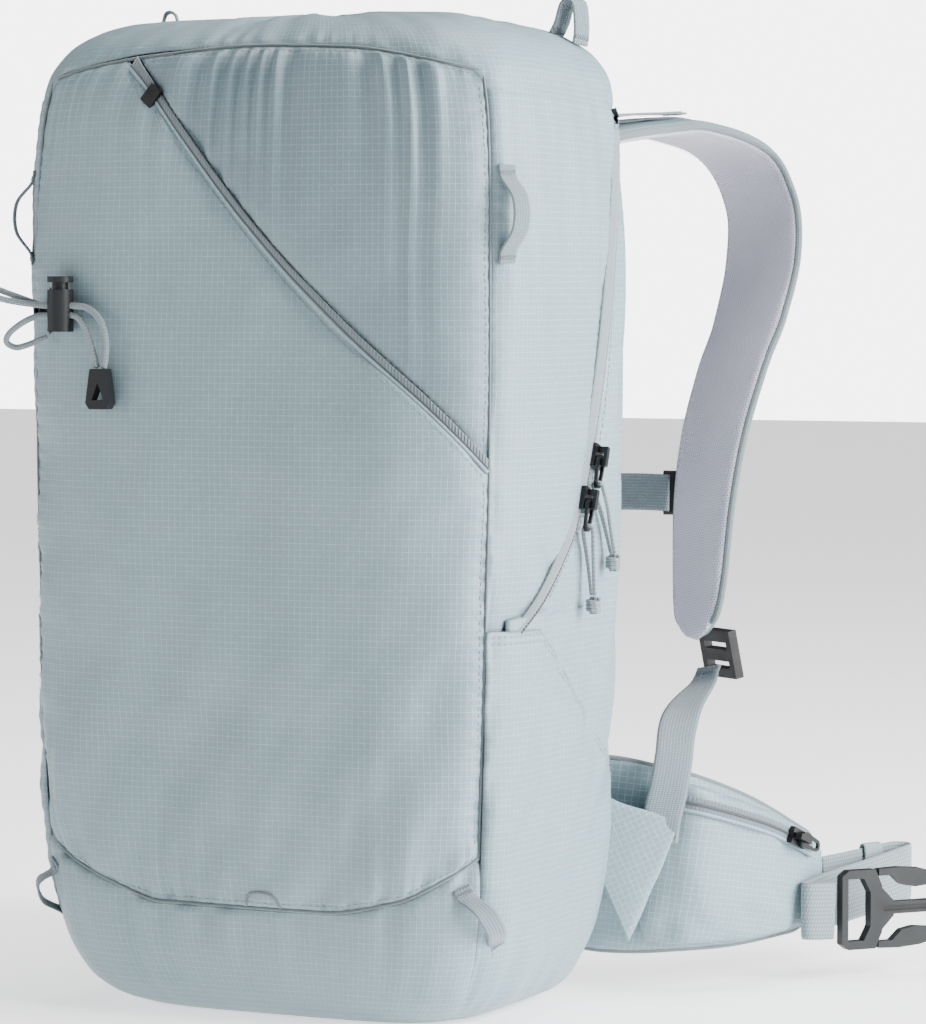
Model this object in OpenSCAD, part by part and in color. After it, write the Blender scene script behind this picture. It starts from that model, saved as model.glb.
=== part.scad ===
// 18 litre ski touring backpack: panel-opening pack body, harness, hip belt and ice axe holder.
// +Z is up, -Y is the outer front face, +Y is towards the wearer, +X is the wearer's right.
// The origin is the centre of the flat base. Lengths are millimetres.

/* [Pack body] */
// Height of the pack body
body_h = 498; // [490:1:520]
// Width of the pack body at its widest
body_w = 278; // [270:1:284]
// How far the front face stands from the origin
front_reach = 88; // [84:1:90]
// How far the back face stands from the origin
back_reach = 95; // [94:1:96]
// Thickness of a sewn wall, fabric and lining together
wall = 1.6; // [1.2:0.1:2]
// Height of the fold that the front shell opens about
fold_z = 200; // [198:1:202]
// Height of the zip across the back
zip_top_z = 452; // [450:1:454]

/* [Harness] */
// Width of a shoulder pad
pad_w = 64; // [55:1:68]
// Thickness of a shoulder pad
pad_t = 9; // [7:1:10]
// Width of the shoulder webbing
strap_w = 20; // [18:1:22]
// Width of the hip webbing
belt_w = 30; // [25:1:32]
// Thickness of all webbing
web_t = 1.4; // [1:0.1:1.6]
// Width of the sternum strap
sternum_w = 20; // [15:1:22]

/* [Fittings] */
// Width of the ski and helmet loops
loop_w = 10; // [8:1:12]
// Diameter of the elastic cord
bungee_d = 3.2; // [3:0.1:3.5]
// Diameter of the zip pull cords
pull_cord_d = 2.2; // [2:0.1:2.4]
// Width of a zip tape strip
tape_w = 5; // [4:0.5:5]

/* [Hidden] */
$fn = 32;

cloth = "#a9b8bd";
shade_cloth = "#8798a0";
mesh_cloth = "#c3c3cf";
tape_cloth = "#7f8f95";
black = "#1d1f22";

// Shares of half width, front reach, back reach and backward drop, at shares of the height
WIDTH_SHARE = [[0, 0.62], [0.01, 0.72], [0.035, 0.81], [0.08, 0.885], [0.15, 0.925],
    [0.27, 0.955], [0.41, 0.98], [0.55, 0.995], [0.69, 1], [0.8, 1], [0.88, 0.99],
    [0.94, 0.955], [0.966, 0.9], [0.984, 0.82], [0.995, 0.68], [1, 0.3]];
FRONT_SHARE = [[0, 0.52], [0.01, 0.66], [0.035, 0.81], [0.08, 0.91], [0.15, 0.97],
    [0.27, 1], [0.55, 1], [0.69, 0.98], [0.8, 0.97], [0.88, 0.94],
    [0.94, 0.88], [0.966, 0.79], [0.984, 0.66], [0.995, 0.49], [1, 0.2]];
BACK_SHARE = [[0, 0.76], [0.01, 0.83], [0.035, 0.9], [0.08, 0.94], [0.15, 0.955],
    [0.27, 0.965], [0.41, 0.98], [0.55, 1], [0.8, 1], [0.88, 0.99],
    [0.94, 0.95], [0.966, 0.89], [0.984, 0.8], [0.995, 0.62], [1, 0.25]];
DROP_SHARE = [[0, 0], [0.8, 0], [0.94, 0.03], [1, 0.03]];
front_corner = 4.5;
back_corner = 6;
mid_z = body_h/2;
seam_angle = 61;
back_angle = 123;
gap = 0.6;
turn_gap = 0.5;

// Heights of the front's bottom and top seams, by angle from the front
gusset_top = 88;
BOTTOM_SEAM = [[-seam_angle, gusset_top], [-42, 68], [-28, 59], [28, 59], [45, 66], [53, 76],
    [seam_angle, gusset_top]];
TOP_SEAM = [[-seam_angle, 467], [-35, 477], [0, 481], [35, 479], [seam_angle, 467]];
// The slanting pocket zip in the front, height by angle from the front
POCKET_ZIP = [[-42, 479], [-34, 466], [-20, 438], [-3.5, 408], [14, 378], [29, 352], [46.5, 316],
    [seam_angle, 277]];
// The main zip on each side, angle by height
MAIN_ZIP = [[200, 71], [214, 79], [228, 85.5], [244, 91.5], [264, 96], [290, 100], [318, 103.5],
    [348, 106.5], [378, 109], [408, 111], [440, 113], [470, 114]];

function dot3(a, b) = a[0]*b[0] + a[1]*b[1] + a[2]*b[2];
function unit(v) = v/norm(v);
function joined(rows) = [for (row = rows) each row];

// A point of the pack's skin: z is its height, t its angle from the front, inset its depth
function skin(z, t, inset = 0) =
    let (share = z/body_h,
        a = body_w/2*lookup(share, WIDTH_SHARE) - inset,
        f = front_reach*lookup(share, FRONT_SHARE),
        b = back_reach*lookup(share, BACK_SHARE),
        middle = (b - f)/2,
        d = (b + f)/2 - inset,
        n = cos(t) >= 0 ? front_corner : back_corner,
        r = pow(pow(abs(sin(t))/a, n) + pow(abs(cos(t))/d, n), -1/n),
        y = -r*cos(t))
    [r*sin(t), middle + y, z - lookup(share, DROP_SHARE)*y];

// A point of a smooth curve through p1 and p2
function curve_point(p0, p1, p2, p3, u) =
    0.5*(2*p1 + (p2 - p0)*u + (2*p0 - 5*p1 + 4*p2 - p3)*u*u + (3*p1 - p0 - 3*p2 + p3)*u*u*u);
// A smooth curve through the points p, with k steps between two points
function smooth(p, k) = [for (i = [0:len(p) - 2]) for (j = [0:k - 1])
    curve_point(p[max(i - 1, 0)], p[i], p[i + 1], p[min(i + 2, len(p) - 1)], j/k), p[len(p) - 1]];
function steps(from, to, count) = [for (i = [0:count]) from + (to - from)*i/count];

// Grid of skin points between two heights given for each angle
function panel_grid(ts, lows, highs, rows, inset) = [for (i = [0:rows]) [for (j = [0:len(ts) - 1])
    skin(lows[j] + (highs[j] - lows[j])*i/rows, ts[j], inset)]];
// Grid of skin points between two angles given for each height
function strip_grid(zs, froms, tos, cols, inset) = [for (i = [0:len(zs) - 1]) [for (j = [0:cols])
    skin(zs[i], froms[i] + (tos[i] - froms[i])*j/cols, inset)]];

// A wall between an outer and an inner grid of points; closed joins the last column to the first,
// and crown holds the outer and inner middle points that close the top
module shell(outer, inner, closed = false, crown = []) {
    rows = len(outer);
    cols = len(outer[0]);
    wrap = closed ? cols : cols - 1;
    half = rows*cols;
    top = half - cols;
    faces = [for (i = [0:rows - 2]) for (j = [0:wrap - 1])
        let (a = i*cols + j, b = i*cols + (j + 1)%cols, c = b + cols, d = a + cols)
        each [[a, d, c], [a, c, b], [a + half, c + half, d + half], [a + half, b + half, c + half]]];
    foot = [for (j = [0:wrap - 1]) let (a = j, b = (j + 1)%cols)
        each [[a, b, b + half], [a, b + half, a + half]]];
    head = [for (j = [0:wrap - 1]) let (c = top + (j + 1)%cols, d = top + j)
        each len(crown) > 0 ? [[c, d, 2*half], [d + half, c + half, 2*half + 1]]
            : [[c, d, d + half], [c, d + half, c + half]]];
    sides = closed ? [] : [for (i = [0:rows - 2])
        let (a = i*cols, d = a + cols, b = a + cols - 1, c = b + cols)
        each [[d, a, a + half], [d, a + half, d + half], [b, c, c + half], [b, c + half, b + half]]];
    polyhedron(joined([joined(outer), joined(inner), crown]), joined([faces, foot, head, sides]), 8);
}

// A solid through rings of points that follow each other
module sweep_rings(rings) {
    n = len(rings[0]);
    last = (len(rings) - 1)*n;
    sides = [for (i = [0:len(rings) - 2]) for (j = [0:n - 1])
        let (a = i*n + j, b = i*n + (j + 1)%n)
        each [[a, a + n, b + n], [a, b + n, b]]];
    caps = [[for (j = [0:n - 1]) j], [for (j = [n - 1:-1:0]) last + j]];
    polyhedron(joined(rings), joined([sides, caps]), 8);
}

function heading(p, i) = unit(p[min(i + 1, len(p) - 1)] - p[max(i - 1, 0)]);
function xyz(row) = [row[0], row[1], row[2]];

// A flat band; each row is x, y, z of its middle, the direction across it, its width and thickness
module band(rows, k = 3) {
    s = smooth(rows, k);
    path = [for (row = s) xyz(row)];
    sweep_rings([for (i = [0:len(s) - 1])
        let (along = heading(path, i),
            raw = [s[i][3], s[i][4], s[i][5]],
            across = unit(raw - along*dot3(raw, along)),
            up = cross(along, across),
            w = s[i][6]/2,
            t = s[i][7]/2)
        [path[i] - across*w - up*t, path[i] + across*w - up*t,
            path[i] + across*w + up*t, path[i] - across*w + up*t]]);
}

// A round cord through the points p
module cord(points, d, k = 2, sides = 8) {
    path = smooth(points, k);
    sweep_rings([for (i = [0:len(path) - 1])
        let (along = heading(path, i),
            ref = abs(along[1]) < 0.9 ? [0, 1, 0] : [0, 0, 1],
            side = unit(cross(ref, along)),
            up = cross(along, side))
        [for (j = [0:sides - 1]) path[i] + d/2*(cos(360*j/sides)*side + sin(360*j/sides)*up)]]);
}

module both_sides() {
    for (side = [0, 1]) mirror([side, 0, 0]) children();
}

module rounded_slab(w, h, t, r) {
    linear_extrude(t) hull() for (x = [-1, 1], y = [-1, 1])
        translate([x*(w/2 - r), y*(h/2 - r)]) circle(r);
}

function main_zip_angle(z) = lookup(z, MAIN_ZIP);
function bottom_seam(t) = lookup(t, BOTTOM_SEAM);
function top_seam(t) = lookup(t, TOP_SEAM);
function pocket_zip(t) = lookup(t, POCKET_ZIP);

// ---------------------------------------------------------------- pack body, lower and rear

module base_panel() {
    inset = 3;
    rim = [for (t = [0:7.5:352.5]) let (p = skin(0, t, inset)) [p[0], p[1]]];
    color(shade_cloth) linear_extrude(wall) polygon(rim);
}

module lower_gusset() {
    ts = [for (t = [-180:7.5:172.5]) t];
    tops = [for (t = ts) (abs(t) <= seam_angle ? bottom_seam(t) : gusset_top) - gap];
    shares = [0, 0.06, 0.16, 0.32, 0.55, 0.8, 1];
    function ring_grid(inset, lift) = [for (s = shares) [for (j = [0:len(ts) - 1])
        skin(max(tops[j]*s, lift), ts[j], inset)]];
    color(cloth) shell(ring_grid(0, 0), ring_grid(wall, 0), true);
}

module front_panel_lower() {
    ts = steps(-seam_angle + turn_gap, seam_angle - turn_gap, 16);
    lows = [for (t = ts) bottom_seam(t) + gap];
    highs = [for (t = ts) fold_z - gap];
    color(cloth) shell(panel_grid(ts, lows, highs, 5, 0), panel_grid(ts, lows, highs, 5, wall));
}

module side_panels_lower() {
    zs = steps(gusset_top + gap, fold_z - gap, 5);
    froms = [for (z = zs) seam_angle + turn_gap];
    tos = [for (z = zs) back_angle - turn_gap];
    color(cloth) both_sides() shell(strip_grid(zs, froms, tos, 6, 0), strip_grid(zs, froms, tos, 6, wall));
}

module back_panel() {
    ts = steps(back_angle + turn_gap, 360 - back_angle - turn_gap, 12);
    lows = [for (t = ts) gusset_top + gap];
    highs = [for (t = ts) zip_top_z - tape_w];
    color(shade_cloth) shell(panel_grid(ts, lows, highs, 8, 0), panel_grid(ts, lows, highs, 8, wall));
}

// Angle that a tape strip takes up beside the main zip
tape_turn = 2.1;

module rear_gussets() {
    zs = concat(steps(fold_z + gap, 290, 5), [318, 348, 378, 408, 440]);
    froms = [for (z = zs) main_zip_angle(z) + tape_turn + turn_gap];
    tos = [for (z = zs) back_angle - turn_gap];
    color(cloth) both_sides() shell(strip_grid(zs, froms, tos, 4, 0), strip_grid(zs, froms, tos, 4, wall));
}

tape_zs = [fold_z + 2, 214, 228, 244, 264, 290, 318, 348, 378, 408, 430, zip_top_z - 7];
module tape_sides(from, to) {
    froms = [for (z = tape_zs) main_zip_angle(z) + from];
    tos = [for (z = tape_zs) main_zip_angle(z) + to];
    both_sides() shell(strip_grid(tape_zs, froms, tos, 1, 0), strip_grid(tape_zs, froms, tos, 1, wall));
}
module tape_across(low, high) {
    ts = steps(118, 242, 14);
    lows = [for (t = ts) low];
    highs = [for (t = ts) high];
    shell(panel_grid(ts, lows, highs, 1, 0), panel_grid(ts, lows, highs, 1, wall));
}

module zip_tape_pack() {
    color(tape_cloth) {
        tape_sides(0.15, tape_turn - 0.3);
        tape_across(zip_top_z - tape_w + gap, zip_top_z - 0.3);
    }
}

module zip_tape_front() {
    color(tape_cloth) {
        tape_sides(-tape_turn + 0.3, -0.15);
        tape_across(zip_top_z + 0.3, zip_top_z + tape_w - gap);
    }
}

module side_wings() {
    ts = steps(seam_angle + 1, 117, 8);
    lows = [for (t = ts) gusset_top + 4];
    highs = [for (t = ts) min(fold_z - 2, fold_z - 2 - (t - 77)*1.9)];
    lift = -0.6;
    color(cloth) both_sides() shell(panel_grid(ts, lows, highs, 4, lift - wall),
        panel_grid(ts, lows, highs, 4, lift));
}

// ---------------------------------------------------------------- frame and back padding

sheet_y = 76;
sheet_t = 1.5;
rod_y = 80;
rod_d = 5;
rod_x = 78;
rod_low = 62;
rod_high = 410;
rod_bend = 30;

module frame_sheet() {
    sheet_w = 176;
    sheet_h = 390;
    color("#d9dcdc") translate([0, sheet_y, mid_z - 5]) rotate([90, 0, 0])
        rounded_slab(sheet_w, sheet_h, sheet_t, 24);
}

module frame_rod() {
    color("silver") translate([0, rod_y, 0]) {
        both_sides() translate([rod_x, 0, rod_low]) cylinder(h = rod_high - rod_bend - rod_low, d = rod_d);
        both_sides() translate([rod_x - rod_bend, 0, rod_high - rod_bend]) rotate([90, 0, 0])
            rotate_extrude(angle = 90) translate([rod_bend, 0]) circle(d = rod_d);
        translate([-(rod_x - rod_bend), 0, rod_high]) rotate([0, 90, 0])
            cylinder(h = 2*(rod_x - rod_bend), d = rod_d);
    }
}

pad_lift = 0.4;
module back_pads() {
    strip_t = 9;
    ts = steps(136, 166, 6);
    lows = [for (t = ts) 118];
    highs = [for (t = ts) 412];
    color(mesh_cloth) both_sides() shell(panel_grid(ts, lows, highs, 8, -pad_lift - strip_t),
        panel_grid(ts, lows, highs, 8, -pad_lift));
}

module lumbar_pad() {
    lumbar_t = 12;
    ts = steps(138, 222, 12);
    lows = [for (t = ts) 48];
    highs = [for (t = ts) 112];
    color(mesh_cloth) shell(panel_grid(ts, lows, highs, 3, -pad_lift - lumbar_t),
        panel_grid(ts, lows, highs, 3, -pad_lift));
}

module haul_loop() {
    haul_w = 18;
    color(shade_cloth) band([[-27, 96.5, 430, 0, 0, 1, haul_w, 1.6], [-19, 107, 434, 0, 0, 1, haul_w, 3],
        [0, 113, 437, 0, 0, 1, haul_w, 3], [19, 107, 434, 0, 0, 1, haul_w, 3],
        [27, 96.5, 430, 0, 0, 1, haul_w, 1.6]]);
}

// ---------------------------------------------------------------- shoulder harness

PAD_ROUTE = [[57, 101, 430, 1, -0.1, 0, 0.78*pad_w, pad_t - 3], [70, 152, 443, 0.97, -0.25, 0, 0.95*pad_w, pad_t],
    [84, 200, 449, 0.92, -0.4, 0, pad_w, pad_t], [98, 228, 450, 0.89, -0.46, 0, pad_w, pad_t],
    [118, 262, 438, 0.86, -0.51, 0, pad_w, pad_t], [130, 271, 412, 0.83, -0.56, 0, pad_w, pad_t],
    [135, 263, 380, 0.83, -0.56, 0, pad_w, pad_t], [135, 245, 347, 0.83, -0.56, 0, 0.95*pad_w, pad_t],
    [132, 228, 321, 0.83, -0.56, 0, 0.92*pad_w, pad_t], [130, 208, 286, 0.83, -0.56, 0, 0.88*pad_w, pad_t],
    [130, 194, 250, 0.83, -0.56, 0, 0.82*pad_w, pad_t], [132, 183, 208, 0.83, -0.56, 0, 0.7*pad_w, pad_t],
    [134, 174, 177, 0.83, -0.56, 0, 0.5*pad_w, pad_t - 3]];

module shoulder_pad() {
    band(PAD_ROUTE, 3);
}
module shoulder_pad_right() {
    color(mesh_cloth) shoulder_pad();
}
module shoulder_pad_left() {
    color(mesh_cloth) mirror([1, 0, 0]) shoulder_pad();
}

module load_lifters() {
    lifter_w = 15;
    color(shade_cloth) both_sides() band([[82, 97.5, 442, 1, -0.3, 0, lifter_w, web_t],
        [86, 130, 451, 0.95, -0.4, 0, lifter_w, web_t], [90, 170, 456, 0.92, -0.4, 0, lifter_w, web_t],
        [96, 205, 458, 0.9, -0.43, 0, lifter_w, web_t], [101, 222, 458.5, 0.9, -0.43, 0, lifter_w, web_t]], 2);
}

module strap_anchors() {
    color(cloth) both_sides() band([[132, 76.6, 72, 0, 0, 1, 78, 3], [139.6, 81.4, 74, 0, 0, 1, 52, 3],
        [148, 87.5, 77, -0.3, -0.5, 1, strap_w + 4, 3]], 2);
}

module strap_webbings() {
    color(tape_cloth) both_sides() band([[151, 88, 92, 0.86, 0.42, -0.2, strap_w, web_t],
        [152.5, 94, 108, 0.86, 0.42, -0.25, strap_w, web_t],
        [150, 106, 122, 0.86, 0.4, -0.3, strap_w, web_t],
        [144, 124, 134, 0.9, 0.2, -0.25, strap_w, web_t],
        [139, 146, 144, 0.88, -0.2, -0.1, strap_w, web_t],
        [138, 171.5, 154.5, 0.83, -0.56, 0, strap_w, web_t]], 3);
}

// Ladder locks turn about the bar that the pad's end is sewn round
ladder_centre = [140, 181, 182];
module ladder_lock() {
    lock_w = 30;
    lock_h = 26;
    lock_t = 5;
    slot_w = 21;
    translate(ladder_centre) rotate([0, 0, -34]) rotate([12, 0, 0]) difference() {
        translate([-lock_w/2, 0, -lock_h]) cube([lock_w, lock_t, lock_h]);
        for (z = [-0.32*lock_h, -0.72*lock_h]) translate([-slot_w/2, -1, z - 2]) cube([slot_w, lock_t + 2, 4]);
    }
}
module ladder_lock_right() {
    color(black) ladder_lock();
}
module ladder_lock_left() {
    color(black) mirror([1, 0, 0]) ladder_lock();
}

// The sternum strap slides up and down the pads' inner edges
sternum_z = 253;
sternum_y = 214;
sternum_end_x = 101.2;
module sternum_strap() {
    color(tape_cloth) {
        both_sides() {
            translate([26, sternum_y, sternum_z - sternum_w/2]) cube([sternum_end_x - 26, web_t, sternum_w]);
            translate([sternum_end_x - 5, sternum_y + web_t + 0.2, sternum_z - 12]) cube([9, 4, 24]);
        }
    }
}
module sternum_buckle() {
    color(black) translate([0, sternum_y + web_t/2, sternum_z]) difference() {
        rotate([90, 0, 0]) translate([0, 0, -4]) rounded_slab(50, 26, 8, 5);
        for (x = [-1, 1]) translate([x*22 - 5, -web_t/2 - 0.3, -sternum_w/2 - 0.4])
            cube([10, web_t + 0.6, sternum_w + 0.8]);
    }
}

// ---------------------------------------------------------------- sewn loops

function on_skin(z, t, lift, w) =
    let (p = skin(z, t, -lift), side = unit(skin(z, t + 2) - skin(z, t - 2)))
    [p[0], p[1], p[2], side[0], side[1], side[2], w, web_t];

module upper_ski_loops() {
    color(tape_cloth) both_sides() band([on_skin(376, 64, 1, loop_w), on_skin(382, 64, 2, loop_w),
        on_skin(393, 64.5, 9, loop_w), on_skin(407, 64.5, 9, loop_w), on_skin(417, 64, 2, loop_w),
        on_skin(423, 64, 1, loop_w)]);
}

module lower_ski_loops() {
    color(tape_cloth) both_sides() band([on_skin(74, 57, 1, loop_w), on_skin(69, 58, 2, loop_w),
        on_skin(62, 60, 9, loop_w), on_skin(52, 63, 9, loop_w), on_skin(45, 66, 2, loop_w),
        on_skin(40, 67, 1, loop_w)]);
}

module helmet_loops() {
    tall = 508;
    color(tape_cloth) both_sides() band([[108, 50, 491.5, 0.44, 0.9, 0, loop_w, web_t],
        [111, 51, 498, 0.44, 0.9, 0, loop_w, web_t], [114, 52, tall, 0.44, 0.9, 0, loop_w, web_t],
        [120, 52, tall, 0.44, 0.9, 0, loop_w, web_t], [122, 51, 495, 0.44, 0.9, 0, loop_w, web_t],
        [121.5, 50, 486.5, 0.44, 0.9, 0, loop_w, web_t]]);
}

// ---------------------------------------------------------------- opening front shell

module front_pocket_panel() {
    ts = steps(-seam_angle + turn_gap, seam_angle - turn_gap, 24);
    lows = [for (t = ts) fold_z + gap];
    highs = [for (t = ts) min(top_seam(t) - gap, pocket_zip(t) - 3.8)];
    color(cloth) shell(panel_grid(ts, lows, highs, 8, 0), panel_grid(ts, lows, highs, 8, wall));
}

module front_upper_panel() {
    ts = steps(-37, seam_angle - turn_gap, 16);
    lows = [for (t = ts) pocket_zip(t) + 3.8];
    highs = [for (t = ts) top_seam(t) - gap];
    color(shade_cloth) shell(panel_grid(ts, lows, highs, 5, 0), panel_grid(ts, lows, highs, 5, wall));
}

module pocket_zip_tape() {
    ts = steps(-38, seam_angle - 2, 16);
    lows = [for (t = ts) pocket_zip(t) - 3];
    highs = [for (t = ts) pocket_zip(t) + 3];
    color(tape_cloth) shell(panel_grid(ts, lows, highs, 1, 0.2), panel_grid(ts, lows, highs, 1, wall));
}

module side_gussets() {
    zs = concat([for (z = tape_zs) z], [zip_top_z]);
    froms = [for (z = zs) seam_angle + turn_gap];
    tos = [for (z = zs) main_zip_angle(z) - tape_turn - turn_gap];
    color(cloth) both_sides() shell(strip_grid(zs, froms, tos, 4, 0), strip_grid(zs, froms, tos, 4, wall));
}

module top_gusset() {
    ts = joined([[-180, -165, -150, -135, -125, -115, -105, -90, -75, -61.8, -60.6], steps(-55, 55, 12),
        [60.6, 61.8, 75, 90, 105, 115, 125, 135, 150, 165]]);
    lows = [for (t = ts) abs(t) < seam_angle ? top_seam(t) + gap : zip_top_z + tape_w];
    shares = [0, 0.25, 0.5, 0.68, 0.84, 0.94, 1];
    function dome(inset, drop) = [for (s = shares) [for (j = [0:len(ts) - 1])
        skin(lows[j] + (body_h - lows[j])*s - (s > 0 ? drop : 0), ts[j], inset)]];
    color(cloth) shell(dome(0, 0), dome(wall, wall), true, [[0, 0, body_h], [0, 0, body_h - wall]]);
}

module pocket_wall() {
    ts = steps(-54, 54, 12);
    lows = [for (t = ts) fold_z + 14];
    highs = [for (t = ts) 446];
    depth = 14;
    color(shade_cloth) shell(panel_grid(ts, lows, highs, 5, depth), panel_grid(ts, lows, highs, 5, depth + 1));
}

// ---------------------------------------------------------------- ice axe holder

lock_pos = [-97.5, -93, 353];
lock_d = 13;
lock_h = 21;

hook_turn = -30;
module axe_hook() {
    color(black) translate([-112.2, -78, 353]) difference() {
        union() {
            rotate([90, 0, hook_turn]) rounded_slab(12, 24, 2.5, 4);
            rotate([90, 0, hook_turn]) cylinder(h = 8, d = 7);
        }
        rotate([90, 0, hook_turn]) translate([0, 0, -2]) cylinder(h = 12, d = bungee_d + 0.6);
    }
}

module cord_lock() {
    color(black) translate(lock_pos) difference() {
        translate([0, 0, -lock_h/2]) cylinder(h = lock_h, d = lock_d);
        translate([0, 0, -lock_h/2 + 2.5]) cylinder(h = lock_h, d = lock_d - 4);
        for (z = [2.4, -2.4]) translate([0, 0, z]) rotate([0, 90, 0])
            cylinder(h = 2*lock_d, d = bungee_d + 0.8, center = true);
    }
}

module cord_lock_button() {
    button_rise = 3.6;
    color(black) translate(lock_pos) {
        translate([0, 0, lock_h/2 + button_rise]) cylinder(h = 3, d = lock_d);
        translate([0, 0, 8.2]) cylinder(h = lock_h/2 + button_rise - 8, d = lock_d - 5);
    }
}

// Elastic cord routes, each from the hook round a loop, through the cord lock and to the cord end
BUNGEE_UPPER = [[-113.5, -87.5, 356], [-116, -91, 357.5], [-121, -93, 359.5], [-127, -94, 361.5],
    [-133, -95, 363.5], [-137, -97, 363], [-134, -99, 360.5], [-127, -98.5, 358.5], [-119, -96.5, 357],
    [-111, -94, 356], [-104.5, -93, 355.4], [-97.5, -93, 355.4], [-90, -93, 355.4], [-82, -93.5, 354.5],
    [-75, -94.5, 350], [-71, -95, 343], [-70, -95, 335], [-71, -94.5, 328], [-72, -94, 325]];
BUNGEE_LOWER = [[-110, -85.5, 339.5], [-114, -89, 337.5], [-119, -91, 335.5], [-124, -92.5, 334.5],
    [-128, -94.5, 337], [-126, -96, 341], [-121, -96, 345], [-115, -95, 348.5], [-109.5, -93.6, 350.4],
    [-104, -93, 350.6], [-97.5, -93, 350.6], [-91, -93, 350.8], [-86, -94, 349], [-82, -95, 344],
    [-79, -95, 337], [-77, -94.5, 330], [-76, -94, 325]];

module bungee_upper() {
    color(tape_cloth) cord(BUNGEE_UPPER, bungee_d, 2);
}
module bungee_lower() {
    color(tape_cloth) cord(BUNGEE_LOWER, bungee_d, 2);
}

module cord_end() {
    color(black) translate([-74, -94, 324.2]) rotate([90, 0, 0]) translate([0, 0, -3]) difference() {
        linear_extrude(6) polygon([[-4.5, 0], [4.5, 0], [7, -17], [5, -20], [-5, -20], [-7, -17]]);
        translate([0, 0, -1]) linear_extrude(8) polygon([[0, -7], [3.6, -15.5], [-3.6, -15.5]]);
    }
}

// ---------------------------------------------------------------- zip sliders and pulls

// Stands its children on the right side of the pack, with +X away from the skin
module at_side(z, y) {
    translate([body_w/2*lookup(z/body_h, WIDTH_SHARE), y, z]) children();
}
slider_lift = 0.8;
slider_t = 3;
hole_t = 3;
upper_z = 280;
upper_y = 28;
lower_z = 259;
lower_y = 16.5;
zip_lean = -20;

// A zip slider with its bail; +X is away from the zip and +Z along it
module zip_slider() {
    translate([slider_lift, -4.5, -6]) cube([slider_t, 9, 12]);
    translate([slider_lift + slider_t - 0.5, -1.5, -5]) difference() {
        cube([hole_t + 2.5, 3, 10]);
        translate([0.5, -1, 3]) cube([hole_t, 5, 4]);
    }
}
// A wire pull through the hole of a slider's bail, hanging along -Z
module pull_loop() {
    wire_d = 1.6;
    long = 10;
    wide = 4.2;
    translate([slider_lift + slider_t + hole_t/2, 0, wire_d/2 - wide]) rotate([90, 0, 90])
        linear_extrude(wire_d, center = true) difference() {
            hull() {
                circle(wide);
                translate([0, -long]) circle(wide - 1);
            }
            hull() {
                circle(wide - wire_d);
                translate([0, -long]) circle(wide - 1 - wire_d);
            }
        }
}
module upper_slider() {
    color(black) at_side(upper_z, upper_y) rotate([zip_lean, 0, 0]) zip_slider();
}
module lower_slider() {
    color(black) at_side(lower_z, lower_y) rotate([zip_lean, 0, 0]) zip_slider();
}
module upper_pull() {
    color(black) at_side(upper_z, upper_y) rotate([zip_lean, 0, 0]) pull_loop();
}
module lower_pull() {
    color(black) at_side(lower_z, lower_y) rotate([zip_lean, 0, 0]) pull_loop();
}

// Zip pull cords: out of the ring, down to the knot and back up to the ring
UPPER_CORD = [[145.4, 40.6, 231.3], [145.6, 36, 242], [146, 31, 254], [146.4, 25.5, 262.5],
    [145.8, 23.6, 266.4], [143.7, 23.2, 267.3], [141.4, 23.6, 266.4], [140.9, 26.3, 261.5],
    [141.4, 32, 253], [142, 37.5, 242], [142.4, 43, 231.3]];
LOWER_CORD = [[145.4, 16.4, 211.5], [145.6, 15, 222], [146, 13.4, 233], [146.4, 12.2, 241.5],
    [145.8, 12.1, 245.4], [143.7, 11.7, 246.3], [141.4, 12.1, 245.4], [140.9, 13, 240.5],
    [141.4, 15.4, 232], [142, 17.4, 222], [142.4, 19.2, 211.5]];
module upper_pull_cord() {
    color(tape_cloth) cord(UPPER_CORD, pull_cord_d, 2);
}
module lower_pull_cord() {
    color(tape_cloth) cord(LOWER_CORD, pull_cord_d, 2);
}
module knot(x, y, z) {
    color(tape_cloth) translate([x, y, z]) cylinder(h = 9, r = 4.2, center = true);
}
module upper_knot() {
    knot(144, 41.8, 226.2);
}
module lower_knot() {
    knot(144, 17.8, 206.2);
}

module pocket_slider() {
    p = skin(457, -30, -2);
    color(black) translate(p) rotate([90, 42, -4]) translate([-3.5, -5, 0]) cube([7, 10, 3]);
}

// ---------------------------------------------------------------- hip belt

FIN_ROUTE = [[100, 100, 70, 0, 0, 1, 98, 7], [113, 102, 70, 0, 0, 1, 100, 8], [129, 108, 68, 0, 0, 1, 97, 9],
    [148, 124, 64.5, 0, 0, 1, 90, 9], [168, 154, 57.5, 0, 0, 1, 76, 9], [183, 185, 50.5, 0, 0, 1, 56, 8],
    [190, 203, 46.5, 0, 0, 1, 43, 6]];
POCKET_ROUTE = [[134, 99.5, 69, 0, 0, 1, 80, 5], [147.3, 106, 67, 0, 0, 1, 84, 12], [160.4, 115.2, 64.5, 0, 0, 1, 80, 17],
    [181, 148.2, 57.5, 0, 0, 1, 66, 15], [192.5, 180.8, 50.5, 0, 0, 1, 46, 8], [197, 194, 48, 0, 0, 1, 34, 4]];

module hip_fin() {
    band(FIN_ROUTE, 3);
}
module hip_fin_right() {
    color(cloth) hip_fin();
}
module hip_fin_left() {
    color(cloth) mirror([1, 0, 0]) hip_fin();
}
module hip_pocket() {
    color(cloth) band(POCKET_ROUTE, 3);
}
pocket_path = [for (row = POCKET_ROUTE) xyz(row)];
zip_rise = 0.8;
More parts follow.
